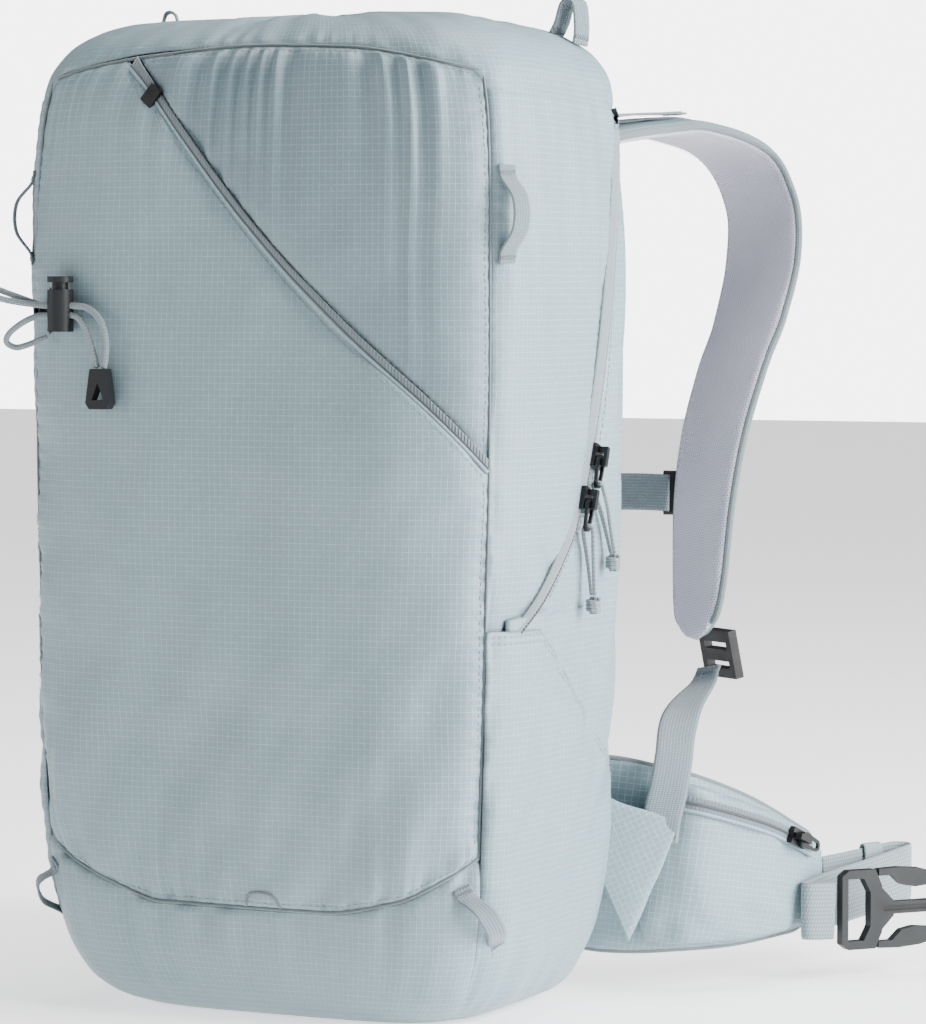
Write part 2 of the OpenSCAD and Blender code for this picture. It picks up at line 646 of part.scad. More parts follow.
// A place on the hip pocket's outer face, beside point i of its route
function pocket_out(i) = let (along = heading(pocket_path, i)) unit([along[1], -along[0], 0]);
function on_pocket(i, lift) = pocket_path[i] + pocket_out(i)*(POCKET_ROUTE[i][7]/2 + lift)
    + [0, 0, zip_rise*POCKET_ROUTE[i][6]/2];
module hip_zip_tape() {
    color(tape_cloth) band([for (i = [1:4]) let (p = on_pocket(i, 1.7)) [p[0], p[1], p[2], 0, 0, 1, 7, 1]], 3);
}

// The webbing leaves the fin's tip, doubles back outside itself and turns out to the buckle
BELT_ROUTE = [[192.5, 208.5, 45.5, 0, 0, 1, belt_w, web_t], [200, 228, 46.5, 0, 0, 1, belt_w, web_t],
    [211, 256, 48.5, 0, 0, 1, belt_w, web_t], [215, 264, 48.5, 0, 0, 1, belt_w, web_t],
    [220, 266, 48, 0, 0, 1, belt_w, web_t], [222, 260, 47.5, 0, 0, 1, belt_w, web_t],
    [214, 236, 44, 0, 0, 1, belt_w, web_t], [205.5, 208, 41, 0, 0, 1, belt_w, web_t],
    [200, 188, 39, 0, 0, 1, belt_w, web_t], [198, 178, 37.6, 0, 0, 1, belt_w, web_t],
    [197, 168, 37, 0, 0, 1, belt_w, web_t], [200.5, 166, 37, 0, 0, 1, belt_w, web_t],
    [205, 169.5, 36.8, 0, 0, 1, belt_w, web_t], [211.5, 177.5, 36.5, 0, 0, 1, belt_w, web_t]];
module belt_webbing() {
    band(BELT_ROUTE, 3);
}
module hip_webbing_right() {
    color(tape_cloth) belt_webbing();
}
module hip_webbing_left() {
    color(tape_cloth) mirror([1, 0, 0]) belt_webbing();
}
module webbing_keeper() {
    keeper_w = 14;
    color(cloth) translate([206.5, 244.5, 47.5]) rotate([0, 0, 68]) difference() {
        cube([keeper_w, 5.6, belt_w + 5], center = true);
        cube([keeper_w + 2, 3.2, belt_w + 1.6], center = true);
    }
}

// Stands its children at the buckle: +X runs out along the belt, +Y inwards, +Z up
buckle_at = [213.5, 180, 36.5];
buckle_turn = 50;
module at_buckle() {
    translate(buckle_at) rotate([0, 0, buckle_turn]) children();
}
frame_l = 20;
frame_h = 42;
buckle_t = 6;
stem_l = 58;

module buckle_frame() {
    slot_h = belt_w + 3;
    color(black) at_buckle() rotate([90, 0, 0]) translate([0, 0, -buckle_t/2]) difference() {
        linear_extrude(buckle_t) union() {
            difference() {
                polygon([[0, -frame_h/2 + 3], [4, -frame_h/2], [frame_l, -frame_h/2], [frame_l + 4, -12],
                    [frame_l + 4, 12], [frame_l, frame_h/2], [4, frame_h/2], [0, frame_h/2 - 3]]);
                polygon([[3.6, -slot_h/2], [13, -slot_h/2], [17, -9], [17, 9], [13, slot_h/2], [3.6, slot_h/2]]);
            }
            translate([frame_l, -3.2]) square([stem_l - frame_l, 6.4]);
            polygon([[frame_l + 3, -12], [frame_l + 11, -4], [frame_l + 11, 4], [frame_l + 3, 12]]);
            polygon([[stem_l - 3, -3.2], [stem_l + 2, -4.6], [stem_l + 2, 4.6], [stem_l - 3, 3.2]]);
        }
        translate([frame_l + 5, -1.3, buckle_t - 1.4]) cube([stem_l - frame_l - 9, 2.6, 2]);
    }
}

arm_root = frame_l + 2.2;
module buckle_arm() {
    color(black) at_buckle() rotate([90, 0, 0]) linear_extrude(buckle_t - 0.8, center = true)
        polygon([[arm_root, frame_h/2], [arm_root, frame_h/2 - 3.6], [arm_root + 8, frame_h/2 - 3.6],
            [arm_root + 14, frame_h/2 - 9], [arm_root + 22, frame_h/2 - 10.5], [arm_root + 32, frame_h/2 - 9.5],
            [arm_root + 38, frame_h/2 - 12], [arm_root + 38, frame_h/2 - 8], [arm_root + 34, frame_h/2 - 3],
            [arm_root + 25, frame_h/2 - 0.6], [arm_root + 12, frame_h/2 + 0.4]]);
}
module buckle_arm_top() {
    buckle_arm();
}
module buckle_arm_bottom() {
    translate([0, 0, buckle_at[2]]) mirror([0, 0, 1]) translate([0, 0, -buckle_at[2]]) buckle_arm();
}

module buckle_socket() {
    socket_l = 46;
    socket_t = 12;
    color(black) mirror([1, 0, 0]) at_buckle() rotate([90, 0, 0]) translate([0, 0, -socket_t/2]) difference() {
        linear_extrude(socket_t) difference() {
            polygon([[0, -frame_h/2 + 3], [3, -frame_h/2], [24, -frame_h/2], [30, -frame_h/2 + 3],
                [38, -frame_h/2 + 3], [socket_l, -frame_h/2 + 1], [socket_l, frame_h/2 - 1],
                [38, frame_h/2 - 3], [30, frame_h/2 - 3], [24, frame_h/2], [3, frame_h/2], [0, frame_h/2 - 3]]);
            translate([3.6, -belt_w/2 - 1.5]) square([8, belt_w + 3]);
        }
        translate([18, -16, 3]) cube([socket_l, 32, socket_t - 6]);
        translate([-1, -frame_h/2 - 1, buckle_t + 3]) cube([16, frame_h + 2, socket_t]);
        translate([-1, -frame_h/2 - 1, -socket_t + 3]) cube([16, frame_h + 2, socket_t]);
    }
}

// Stands its children on the hip pocket's zip, with +X away from it and +Z along it
module at_hip_zip() {
    near = on_pocket(3, 2);
    far = on_pocket(4, 2);
    way = unit(near - far);
    out = unit([-way[1], way[0], 0]);
    side = cross(way, out);
    mid = (near + far)/2 + 0.8*out;
    multmatrix([[out[0], side[0], way[0], mid[0]], [out[1], side[1], way[1], mid[1]],
        [out[2], side[2], way[2], mid[2]]]) children();
}
module hip_slider() {
    color(black) at_hip_zip() zip_slider();
}
module hip_pull() {
    color(black) at_hip_zip() pull_loop();
}

base_panel();
lower_gusset();
front_panel_lower();
side_panels_lower();
back_panel();
rear_gussets();
zip_tape_pack();
side_wings();
frame_sheet();
frame_rod();
back_pads();
lumbar_pad();
haul_loop();
shoulder_pad_right();
shoulder_pad_left();
load_lifters();
strap_anchors();
strap_webbings();
lower_ski_loops();
front_pocket_panel();
front_upper_panel();
side_gussets();
top_gusset();
zip_tape_front();
pocket_wall();
pocket_zip_tape();
upper_ski_loops();
helmet_loops();
axe_hook();
cord_lock();
bungee_upper();
bungee_lower();
cord_end();
cord_lock_button();
pocket_slider();
upper_slider();
upper_pull();
upper_pull_cord();
upper_knot();
lower_slider();
lower_pull();
lower_pull_cord();
lower_knot();
hip_fin_right();
hip_pocket();
hip_zip_tape();
hip_webbing_right();
webbing_keeper();
hip_slider();
hip_pull();
buckle_frame();
buckle_arm_top();
buckle_arm_bottom();
hip_fin_left();
hip_webbing_left();
buckle_socket();
ladder_lock_right();
ladder_lock_left();
sternum_strap();
sternum_buckle();
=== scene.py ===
import math

import bmesh
import bpy
import numpy as np
from mathutils import Matrix, Vector, noise


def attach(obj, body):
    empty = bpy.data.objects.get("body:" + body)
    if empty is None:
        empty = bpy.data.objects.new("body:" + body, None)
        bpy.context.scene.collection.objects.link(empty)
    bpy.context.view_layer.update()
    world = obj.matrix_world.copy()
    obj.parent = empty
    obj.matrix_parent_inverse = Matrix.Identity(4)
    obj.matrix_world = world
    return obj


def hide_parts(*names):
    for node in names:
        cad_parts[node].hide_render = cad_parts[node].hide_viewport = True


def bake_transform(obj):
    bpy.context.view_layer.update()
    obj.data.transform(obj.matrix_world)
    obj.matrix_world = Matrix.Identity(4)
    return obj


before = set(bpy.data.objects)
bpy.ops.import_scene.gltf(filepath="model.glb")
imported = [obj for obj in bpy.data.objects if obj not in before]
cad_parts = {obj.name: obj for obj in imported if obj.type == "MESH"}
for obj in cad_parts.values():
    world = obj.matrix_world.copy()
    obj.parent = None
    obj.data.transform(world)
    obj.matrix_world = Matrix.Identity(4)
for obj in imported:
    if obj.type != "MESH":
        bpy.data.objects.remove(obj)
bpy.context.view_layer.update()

MM = 0.001

# ---------------------------------------------------------------- the pack's skin, in millimetres

BODY_H, HALF_W, FRONT, BACK = 498.0, 139.0, 88.0, 95.0
FOLD_Z, ZIP_TOP = 200.0, 452.0
SEAM, BACK_EDGE, GUSSET_TOP = 61.0, 123.0, 88.0
CORNERS = (4.5, 6.0)
CLOTH_T = 1.0
HEM_Z = 0.4


def smooth_table(rows):
    """A smooth, monotone curve through the rows of (position, value)."""
    x, y = np.array(rows, float).T
    d = np.diff(y)/np.diff(x)
    inner = np.where(d[1:]*d[:-1] > 0, 2*d[1:]*d[:-1]/(d[1:] + d[:-1] + 1e-12), 0)
    m = np.concatenate([[d[0]], inner, [d[-1]]])

    def at(q):
        q = np.clip(np.asarray(q, float), x[0], x[-1])
        i = np.clip(np.searchsorted(x, q) - 1, 0, len(x) - 2)
        h = x[i + 1] - x[i]
        t = (q - x[i])/h
        return ((2*t**3 - 3*t**2 + 1)*y[i] + (t**3 - 2*t**2 + t)*h*m[i]
                + (-2*t**3 + 3*t**2)*y[i + 1] + (t**3 - t**2)*h*m[i + 1])
    return at


width_share = smooth_table([
    (0, 0.62), (0.01, 0.72), (0.035, 0.81), (0.08, 0.885), (0.15, 0.925), (0.27, 0.955), (0.41, 0.98),
    (0.55, 0.995), (0.69, 1), (0.8, 1), (0.88, 0.99), (0.94, 0.955), (0.966, 0.9), (0.984, 0.82),
    (0.995, 0.68), (1, 0.3)])
front_share = smooth_table([
    (0, 0.52), (0.01, 0.66), (0.035, 0.81), (0.08, 0.91), (0.15, 0.97), (0.27, 1), (0.55, 1), (0.69, 0.98),
    (0.8, 0.97), (0.88, 0.94), (0.94, 0.88), (0.966, 0.79), (0.984, 0.66), (0.995, 0.49), (1, 0.2)])
back_share = smooth_table([
    (0, 0.76), (0.01, 0.83), (0.035, 0.9), (0.08, 0.94), (0.15, 0.955), (0.27, 0.965), (0.41, 0.98),
    (0.55, 1), (0.8, 1), (0.88, 0.99), (0.94, 0.95), (0.966, 0.89), (0.984, 0.8), (0.995, 0.62), (1, 0.25)])
drop_share = smooth_table([(0, 0), (0.8, 0), (0.94, 0.03), (1, 0.03)])
bottom_seam = smooth_table([(-SEAM, GUSSET_TOP), (-42, 68), (-28, 59), (28, 59), (45, 66), (53, 76),
                            (SEAM, GUSSET_TOP)])
top_seam = smooth_table([(-SEAM, 467), (-35, 477), (0, 481), (35, 479), (SEAM, 467)])
pocket_zip = smooth_table([(-42, 479), (-34, 466), (-20, 438), (-3.5, 408), (14, 378), (29, 352),
                           (46.5, 316), (SEAM, 277)])
main_zip = smooth_table([(188, 64), (200, 71), (214, 79), (228, 85.5), (244, 91.5), (264, 96), (290, 100),
                         (318, 103.5), (348, 106.5), (378, 109), (408, 111), (440, 113), (470, 114)])


def skin(z, t, out=0.0):
    """Points of the skin at height z and angle t from the front, standing out by out."""
    z, t, out = np.broadcast_arrays(np.asarray(z, float), np.asarray(t, float), np.asarray(out, float))
    share = z/BODY_H
    a = HALF_W*width_share(share) + out
    f, b = FRONT*front_share(share), BACK*back_share(share)
    middle, d = (b - f)/2, (b + f)/2 + out
    s, c = np.sin(np.radians(t)), np.cos(np.radians(t))
    n = np.where(c >= 0, *CORNERS)
    r = ((np.abs(s)/a)**n + (np.abs(c)/d)**n)**(-1/n)
    y = -r*c
    top = np.clip((share - 0.985)/0.015, 0, 1)*out
    return np.stack([r*s, middle + y, z - drop_share(share)*y + top], -1)


# Length along the skin's waist for each angle, used for distances and for the cloth's UVs
_turn = np.linspace(-240, 240, 1921)
_waist = skin(250, _turn)
_arc = np.concatenate([[0], np.cumsum(np.linalg.norm(np.diff(_waist, axis=0), axis=1))])
_arc -= np.interp(0, _turn, _arc)


def arc(t):
    """Length along the waist from the front's middle to angle t."""
    return np.interp(t, _turn, _arc)


def turn(length):
    """The angle at a length along the waist."""
    return np.interp(length, _arc, _turn)


def rnd(x, y=0.0, z=0.0):
    """Smooth noise from -1 to 1 for arrays of places."""
    x, y, z = np.broadcast_arrays(np.asarray(x, float), np.asarray(y, float), np.asarray(z, float))
    flat = [noise.noise(Vector(p)) for p in zip(x.ravel(), y.ravel(), z.ravel())]
    return np.array(flat).reshape(x.shape)*1.6


def ease(x):
    """Goes smoothly from 0 to 1 as x does."""
    x = np.clip(x, 0, 1)
    return x*x*(3 - 2*x)


# ---------------------------------------------------------------- meshes

def new_object(name, verts, faces, uvs=None, smooth=True):
    """verts in millimetres; uvs one pair per vertex, in metres of cloth."""
    mesh = bpy.data.meshes.new(name)
    mesh.from_pydata([tuple(v) for v in np.asarray(verts, float)*MM], [], [list(map(int, f)) for f in faces])
    if uvs is not None:
        layer = mesh.uv_layers.new(name="UVMap")
        index = np.empty(len(mesh.loops), int)
        mesh.loops.foreach_get("vertex_index", index)
        layer.data.foreach_set("uv", (np.asarray(uvs, float)*MM)[index].ravel())
    mesh.polygons.foreach_set("use_smooth", [smooth]*len(mesh.polygons))
    mesh.update()
    obj = bpy.data.objects.new(name, mesh)
    bpy.context.scene.collection.objects.link(obj)
    return obj


def grid_faces(rows, cols, wrap=False, start=0):
    faces = []
    for i in range(rows - 1):
        for j in range(cols if wrap else cols - 1):
            a, b = start + i*cols + j, start + i*cols + (j + 1) % cols
            faces.append((a, b, b + cols, a + cols))
    return faces


def join(objs, name):
    """One object from several, keeping UVs and materials."""
    with bpy.context.temp_override(active_object=objs[0], selected_editable_objects=objs,
                                   selected_objects=objs, object=objs[0]):
        bpy.ops.object.join()
    objs[0].name = name
    objs[0].data.name = name
    return objs[0]


def mirrored(obj, name):
    other = obj.copy()
    other.data = obj.data.copy()
    other.name = name
    other.data.name = name
    other.data.transform(Matrix.Diagonal((-1, 1, 1, 1)))
    other.data.flip_normals()
    bpy.context.scene.collection.objects.link(other)
    return other


def solidify(obj, thickness):
    """Gives a sheet its thickness, inward from its face."""
    mod = obj.modifiers.new("thickness", "SOLIDIFY")
    mod.thickness = thickness*MM
    mod.offset = -1.0
    mod.use_even_offset = False
    mesh = bpy.data.meshes.new_from_object(obj.evaluated_get(bpy.context.evaluated_depsgraph_get()))
    name = obj.data.name
    obj.modifiers.clear()
    obj.data = mesh
    mesh.name = name


def face_out(obj, clean=False):
    """Turns every face outward, and with clean first welds the points that meet."""
    bm = bmesh.new()
    bm.from_mesh(obj.data)
    if clean:
        bmesh.ops.remove_doubles(bm, verts=bm.verts, dist=0.01*MM)
        bmesh.ops.dissolve_degenerate(bm, edges=bm.edges, dist=0.002*MM)
    bmesh.ops.recalc_face_normals(bm, faces=bm.faces)
    bm.to_mesh(obj.data)
    bm.free()
    return obj


def curve_points(points, per=6):
    """A smooth curve through the points, per steps between two of them."""
    p = np.asarray(points, float)
    q = np.vstack([p[:1], p, p[-1:]])
    u = (np.arange(per)/per)[:, None]
    out = [0.5*(2*q[i + 1] + (q[i + 2] - q[i])*u + (2*q[i] - 5*q[i + 1] + 4*q[i + 2] - q[i + 3])*u*u
                + (3*q[i + 1] - q[i] - 3*q[i + 2] + q[i + 3])*u**3) for i in range(len(p) - 1)]
    return np.vstack(out + [p[-1:]])


def lengths(path):
    return np.concatenate([[0], np.cumsum(np.linalg.norm(np.diff(path, axis=0), axis=1))])


def resample(path, step):
    """The path's rows at even distances of about step; extra columns are carried along."""
    path = np.asarray(path, float)
    s = lengths(path[:, :3])
    count = max(2, int(round(s[-1]/step)) + 1)
    at = np.linspace(0, s[-1], count)
    return np.stack([np.interp(at, s, path[:, k]) for k in range(path.shape[1])], 1)


def unit(v):
    return v/np.maximum(np.linalg.norm(v, axis=-1, keepdims=True), 1e-9)


def headings(path):
    d = np.empty_like(path)
    d[1:-1] = path[2:] - path[:-2]
    d[0], d[-1] = path[1] - path[0], path[-1] - path[-2]
    return unit(d)


def frames(path):
    """Directions along the path, and two across it that don't twist."""
    along = headings(path)
    side = np.zeros_like(path)
    ref = np.array([0, 1.0, 0]) if abs(along[0][1]) < 0.9 else np.array([0, 0, 1.0])
    side[0] = unit(np.cross(along[0], ref))
    for i in range(1, len(path)):
        s = side[i - 1] - along[i]*np.dot(side[i - 1], along[i])
        side[i] = unit(s)
    return along, side, np.cross(along, side)


def tube(name, path, radius, sides=10):
    """A tube along the path; radius is one number or one for each point."""
    path = np.asarray(path, float)
    along, a, b = frames(path)
    radius = np.broadcast_to(radius, len(path))
    s = lengths(path)
    verts, uvs = [], []
    for i, p in enumerate(path):
        for j in range(sides + 1):
            w = 2*math.pi*j/sides
            verts.append(p + radius[i]*(math.cos(w)*a[i] + math.sin(w)*b[i]))
            uvs.append((2*math.pi*radius[i]*j/sides, s[i]))
    faces = grid_faces(len(path), sides + 1)
    for end, row in ((0, 0), (len(path) - 1, (len(path) - 1)*(sides + 1))):
        centre = len(verts)
        verts.append(path[end] + along[end]*radius[end]*(0.35 if end else -0.35))
        uvs.append((0, s[end]))
        for j in range(sides):
            tri = (row + j + 1, row + j, centre)
            faces.append(tri if end == 0 else tri[::-1])
    obj = face_out(new_object(name, verts, faces, uvs), clean=True)
    obj.data.polygons.foreach_set("use_smooth", [True]*len(obj.data.polygons))
    return obj


def ribbon(name, rows, step=2.0, across=10, edge=0.35):
    """Webbing: each row is x, y, z, the direction across, the width and the thickness."""
    path = resample(curve_points(rows, 12), step)
    centre = path[:, :3]
    along = headings(centre)
    side = path[:, 3:6] - along*np.sum(path[:, 3:6]*along, 1, keepdims=True)
    side = unit(side)
    up = np.cross(along, side)
    s = lengths(centre)
    k = np.linspace(-1, 1, across + 1)
    round_off = np.sqrt(np.clip(1 - np.abs(k)**14, 0, 1))*(1 - edge) + edge
    loop_k = np.concatenate([k, k[::-1]])
    loop_h = np.concatenate([round_off, -round_off[::-1]])
    verts, uvs = [], []
    for i in range(len(centre)):
        w, t = path[i, 6]/2, path[i, 7]/2
        for kk, hh in zip(loop_k, loop_h):
            verts.append(centre[i] + side[i]*kk*w + up[i]*hh*t)
            uvs.append((kk*w, s[i]))
    n = len(loop_k)
    faces = grid_faces(len(centre), n, wrap=True)
    last = (len(centre) - 1)*n
    for row, flip in ((0, False), (last, True)):
        for j in range(across):
            f = (row + j, row + n - 1 - j, row + n - 2 - j, row + j + 1)
            faces.append(f if not flip else f[::-1])
    return face_out(new_object(name, verts, faces, uvs))


def stitches(path, normal, length=2.4, gap=1.1, width=0.42, height=0.3):
    """Short raised threads along a path, each a small bent lozenge; normal is each point's way out."""
    dense = resample(np.hstack([path, normal]), 0.4)
    s = lengths(dense[:, :3])
    verts, faces, uvs = [], [], []
    at = 0.6
    while at + length < s[-1]:
        rows = [np.array([np.interp(at + length*f, s, dense[:, k]) for k in range(6)]) for f in (0, 0.5, 1)]
        way = unit(rows[2][:3] - rows[0][:3])
        start = len(verts)
        for row, lift, wide in zip(rows, (-0.1, height, -0.1), (0.45, 1, 0.45)):
            out = unit(row[3:])
            side = unit(np.cross(way, out))
            for a, b in ((-1, -0.3), (0, 1), (1, -0.3)):
                verts.append(row[:3] + side*a*wide*width/2 + out*(lift + b*0.22*wide))
                uvs.append((a, at))
        for r in (0, 3):
            for a, b in ((0, 1), (1, 2), (2, 0)):
                faces.append((start + r + a, start + r + b, start + r + 3 + b, start + r + 3 + a))
        faces.append((start + 2, start + 1, start))
        faces.append((start + 6, start + 7, start + 8))
        at += length + gap
    return new_object("s", verts, faces, uvs)


# ---------------------------------------------------------------- materials

def material(name, base, rough, metallic=0.0, **sockets):
    """Starts a node material. Returns it with the calls that build its nodes."""
    mat = bpy.data.materials.new(name)
    mat.use_nodes = True
    tree = mat.node_tree
    bsdf = tree.nodes["Principled BSDF"]
    bsdf.inputs["Base Color"].default_value = (*base, 1)
    bsdf.inputs["Roughness"].default_value = rough
    bsdf.inputs["Metallic"].default_value = metallic
    for key, value in sockets.items():
        bsdf.inputs[key.replace("_", " ")].default_value = value
    mat.diffuse_color = (*base, 1)
    return mat, Nodes(tree, bsdf)


class Nodes:
    """Short calls for building a node tree."""

    def __init__(self, tree, bsdf):
        self.tree = tree
        self.colour, self.rough, self.normal = (bsdf.inputs[k] for k in ("Base Color", "Roughness", "Normal"))

    def link(self, a, b):
        self.tree.links.new(a, b)

    def math(self, op, a, b=0.0, c=0.5):
        node = self.tree.nodes.new("ShaderNodeMath")
        node.operation = op
        for socket, value in zip(node.inputs, (a, b, c)):
            if isinstance(value, (int, float)):
                socket.default_value = value
            else:
                self.link(value, socket)
        return node.outputs[0]

    def plus(self, a, b):
        return self.math("ADD", a, b)

    def minus(self, a, b):
        return self.math("SUBTRACT", a, b)

    def times(self, a, b):
        return self.math("MULTIPLY", a, b)

    def over(self, a, b):
        return self.math("DIVIDE", a, b)

    def uv(self):
        coord = self.tree.nodes.new("ShaderNodeTexCoord")
        split = self.tree.nodes.new("ShaderNodeSeparateXYZ")
        self.link(coord.outputs["UV"], split.inputs[0])
        return coord.outputs["UV"], split.outputs[0], split.outputs[1]

    def noise(self, vector, scale, detail=3.0, rough=0.55):
        node = self.tree.nodes.new("ShaderNodeTexNoise")
        node.inputs["Scale"].default_value = scale
        node.inputs["Detail"].default_value = detail
        node.inputs["Roughness"].default_value = rough
        self.link(vector, node.inputs["Vector"])
        return node.outputs["Fac"]

    def place(self):
        return self.tree.nodes.new("ShaderNodeTexCoord").outputs["Object"]

    def thread(self, along, pitch, width):
        """1 on a thread that repeats every pitch metres, soft at its sides, 0 between."""
        phase = self.math("FRACT", self.over(along, pitch))
        far = self.math("ABSOLUTE", self.minus(phase, 0.5))
        return self.minus(1.0, self.math("SMOOTH_MIN", 1.0, self.over(far, width/pitch/2), 0.3))

    def mix(self, factor, dark, light):
        node = self.tree.nodes.new("ShaderNodeMix")
        node.data_type = "RGBA"
        self.link(factor, node.inputs["Factor"])
        for socket, value in ((node.inputs[6], dark), (node.inputs[7], light)):
            if isinstance(value, tuple):
                socket.default_value = (*value, 1)
            else:
                self.link(value, socket)
        return node.outputs[2]

    def bump(self, height, strength, distance, under=None):
        node = self.tree.nodes.new("ShaderNodeBump")
        node.inputs["Strength"].default_value = strength
        node.inputs["Distance"].default_value = distance
        self.link(height, node.inputs["Height"])
        if under is not None:
            self.link(under, node.inputs["Normal"])
        return node.outputs[0]

    def ramp(self, value, low, high, to_low=0.0, to_high=1.0):
        node = self.tree.nodes.new("ShaderNodeMapRange")
        for socket, number in zip(list(node.inputs)[1:5], (low, high, to_low, to_high)):
            socket.default_value = number
        self.link(value, node.inputs[0])
        return node.outputs[0]


def shade(colour, factor):
    return tuple(min(1.0, c*factor) for c in colour)


def ripstop(name, colour, rough=0.46, grid=0.0031, lines=1.8, crease=0.5):
    """Light coated nylon with a raised square grid and soft creases."""
    mat, n = material(name, colour, rough, Specular_IOR_Level=0.4)
    uv, u, v = n.uv()
    grid_mask = n.math("MAXIMUM", n.thread(u, grid, 0.00062), n.thread(v, grid, 0.00062))
    broken = n.times(grid_mask, n.ramp(n.noise(uv, 260.0), 0.35, 0.65, 0.35, 1.0))
    cloudy = n.ramp(n.noise(n.place(), 9.0, 4.0), 0.3, 0.7)
    base = n.mix(cloudy, shade(colour, 0.93), shade(colour, 1.05))
    n.link(n.mix(n.times(broken, 0.75), base, shade(colour, lines)), n.colour)
    weave = n.times(n.thread(u, 0.00042, 0.0003), n.thread(v, 0.00042, 0.0003))
    relief = n.plus(n.times(broken, 1.0), n.times(weave, 0.35))
    creases = n.noise(n.place(), 24.0, 3.0, 0.45)
    soft = n.bump(creases, crease, 0.006)
    n.link(n.bump(relief, 0.55, 0.00018, soft), n.normal)
    n.link(n.ramp(n.noise(n.place(), 22.0), 0.3, 0.7, rough - 0.05, rough + 0.08), n.rough)
    return mat


def woven(name, colour, rib=0.0011, cross=0.0016, rough=0.78, depth=0.00035, contrast=0.3):
    """Woven webbing or tape: ribs across it with a finer thread along it."""
    mat, n = material(name, colour, rough, Sheen_Weight=0.3, Sheen_Roughness=0.5)
    uv, u, v = n.uv()
    column = n.math("FLOOR", n.over(u, cross))
    stagger = n.plus(v, n.times(column, cross*0.5))
    ribs = n.thread(stagger, rib, rib*0.85)
    wales = n.thread(u, cross, cross*0.85)
    cell = n.times(ribs, wales)
    fuzz = n.noise(uv, 2400.0, 2.0)
    tone = n.plus(n.times(cell, 0.75), n.times(fuzz, 0.35))
    n.link(n.mix(tone, shade(colour, 1 - contrast), shade(colour, 1 + contrast)), n.colour)
    n.link(n.bump(n.plus(cell, n.times(fuzz, 0.3)), 0.9, depth), n.normal)
    return mat


def spacer_mesh(name, colour, pitch=0.0017):
    """Knitted spacer mesh: rows of small round holes, offset row by row."""
    mat, n = material(name, colour, 0.85, Sheen_Weight=0.35, Sheen_Roughness=0.45)
    uv, u, v = n.uv()
    row = n.math("FLOOR", n.over(v, pitch*0.86))
    shift = n.times(n.math("MODULO", n.math("ABSOLUTE", row), 2.0), 0.5)
    x = n.minus(n.math("FRACT", n.plus(n.over(u, pitch), shift)), 0.5)
    y = n.minus(n.math("FRACT", n.over(v, pitch*0.86)), 0.5)
    far = n.math("SQRT", n.plus(n.times(x, x), n.times(y, y)))
    hole = n.ramp(far, 0.22, 0.36)
    cloudy = n.ramp(n.noise(n.place(), 14.0, 4.0), 0.3, 0.7)
    knit = n.mix(cloudy, shade(colour, 0.93), shade(colour, 1.05))
    n.link(n.mix(hole, shade(colour, 0.62), knit), n.colour)
    soft = n.bump(n.noise(n.place(), 60.0, 3.0), 0.25, 0.002)
    n.link(n.bump(hole, 0.8, 0.0004, soft), n.normal)
    return mat


def moulded(name, colour, rough=0.42, grain=2200.0, wear=1.7):
    """Moulded plastic with a fine grain, and scuffs on its edges."""
    mat, n = material(name, colour, rough, Specular_IOR_Level=0.22)
    place = n.place()
    scuff = n.ramp(n.noise(place, 180.0, 6.0, 0.7), 0.56, 0.72)
    edge = n.tree.nodes.new("ShaderNodeNewGeometry").outputs["Pointiness"]
    rubbed = n.times(n.ramp(edge, 0.515, 0.56), 0.7)
    n.link(n.mix(n.math("MAXIMUM", n.times(scuff, 0.3), rubbed), colour, shade(colour, wear)), n.colour)
    n.link(n.ramp(n.noise(place, 90.0), 0.3, 0.7, rough - 0.06, rough + 0.1), n.rough)
    n.link(n.bump(n.noise(place, grain, 2.0), 0.25, 0.00006), n.normal)
    return mat


def painted(name, colour, rough=0.3):
    """Painted zinc with small chips."""
    mat, n = material(name, colour, rough, metallic=0.4, Specular_IOR_Level=0.5)
    place = n.place()
    chips = n.ramp(n.noise(place, 420.0, 5.0, 0.7), 0.66, 0.7)
    n.link(n.mix(n.times(chips, 0.5), colour, (0.2, 0.2, 0.21)), n.colour)
    n.link(n.ramp(n.noise(place, 120.0), 0.3, 0.7, rough - 0.06, rough + 0.1), n.rough)
    n.link(n.bump(n.noise(place, 700.0, 3.0), 0.15, 0.00005), n.normal)
    return mat


def braided(name, colour, pitch=0.0022, around=0.0011, contrast=0.35):
    """Braided cord: two sets of strands that cross on a slant."""
    mat, n = material(name, colour, 0.75, Sheen_Weight=0.3, Sheen_Roughness=0.5)
    uv, u, v = n.uv()
    a = n.plus(n.over(u, around), n.over(v, pitch))
    b = n.minus(n.over(u, around), n.over(v, pitch))
    cell = n.times(n.math("SINE", n.times(a, math.pi)),
                  n.math("SINE", n.times(b, math.pi)))
    lay = n.ramp(cell, -1.0, 1.0)
    n.link(n.mix(lay, shade(colour, 1 - contrast), shade(colour, 1 + contrast)), n.colour)
    n.link(n.bump(lay, 0.8, 0.0003), n.normal)
    return mat


def brushed(name, colour, rough=0.32):
    """Drawn aluminium rod."""
    mat, n = material(name, colour, rough, metallic=1.0)
    streak = n.noise(n.place(), 900.0, 4.0)
    n.link(n.mix(streak, shade(colour, 0.9), shade(colour, 1.05)), n.colour)
    n.link(n.bump(streak, 0.1, 0.00005), n.normal)
    return mat


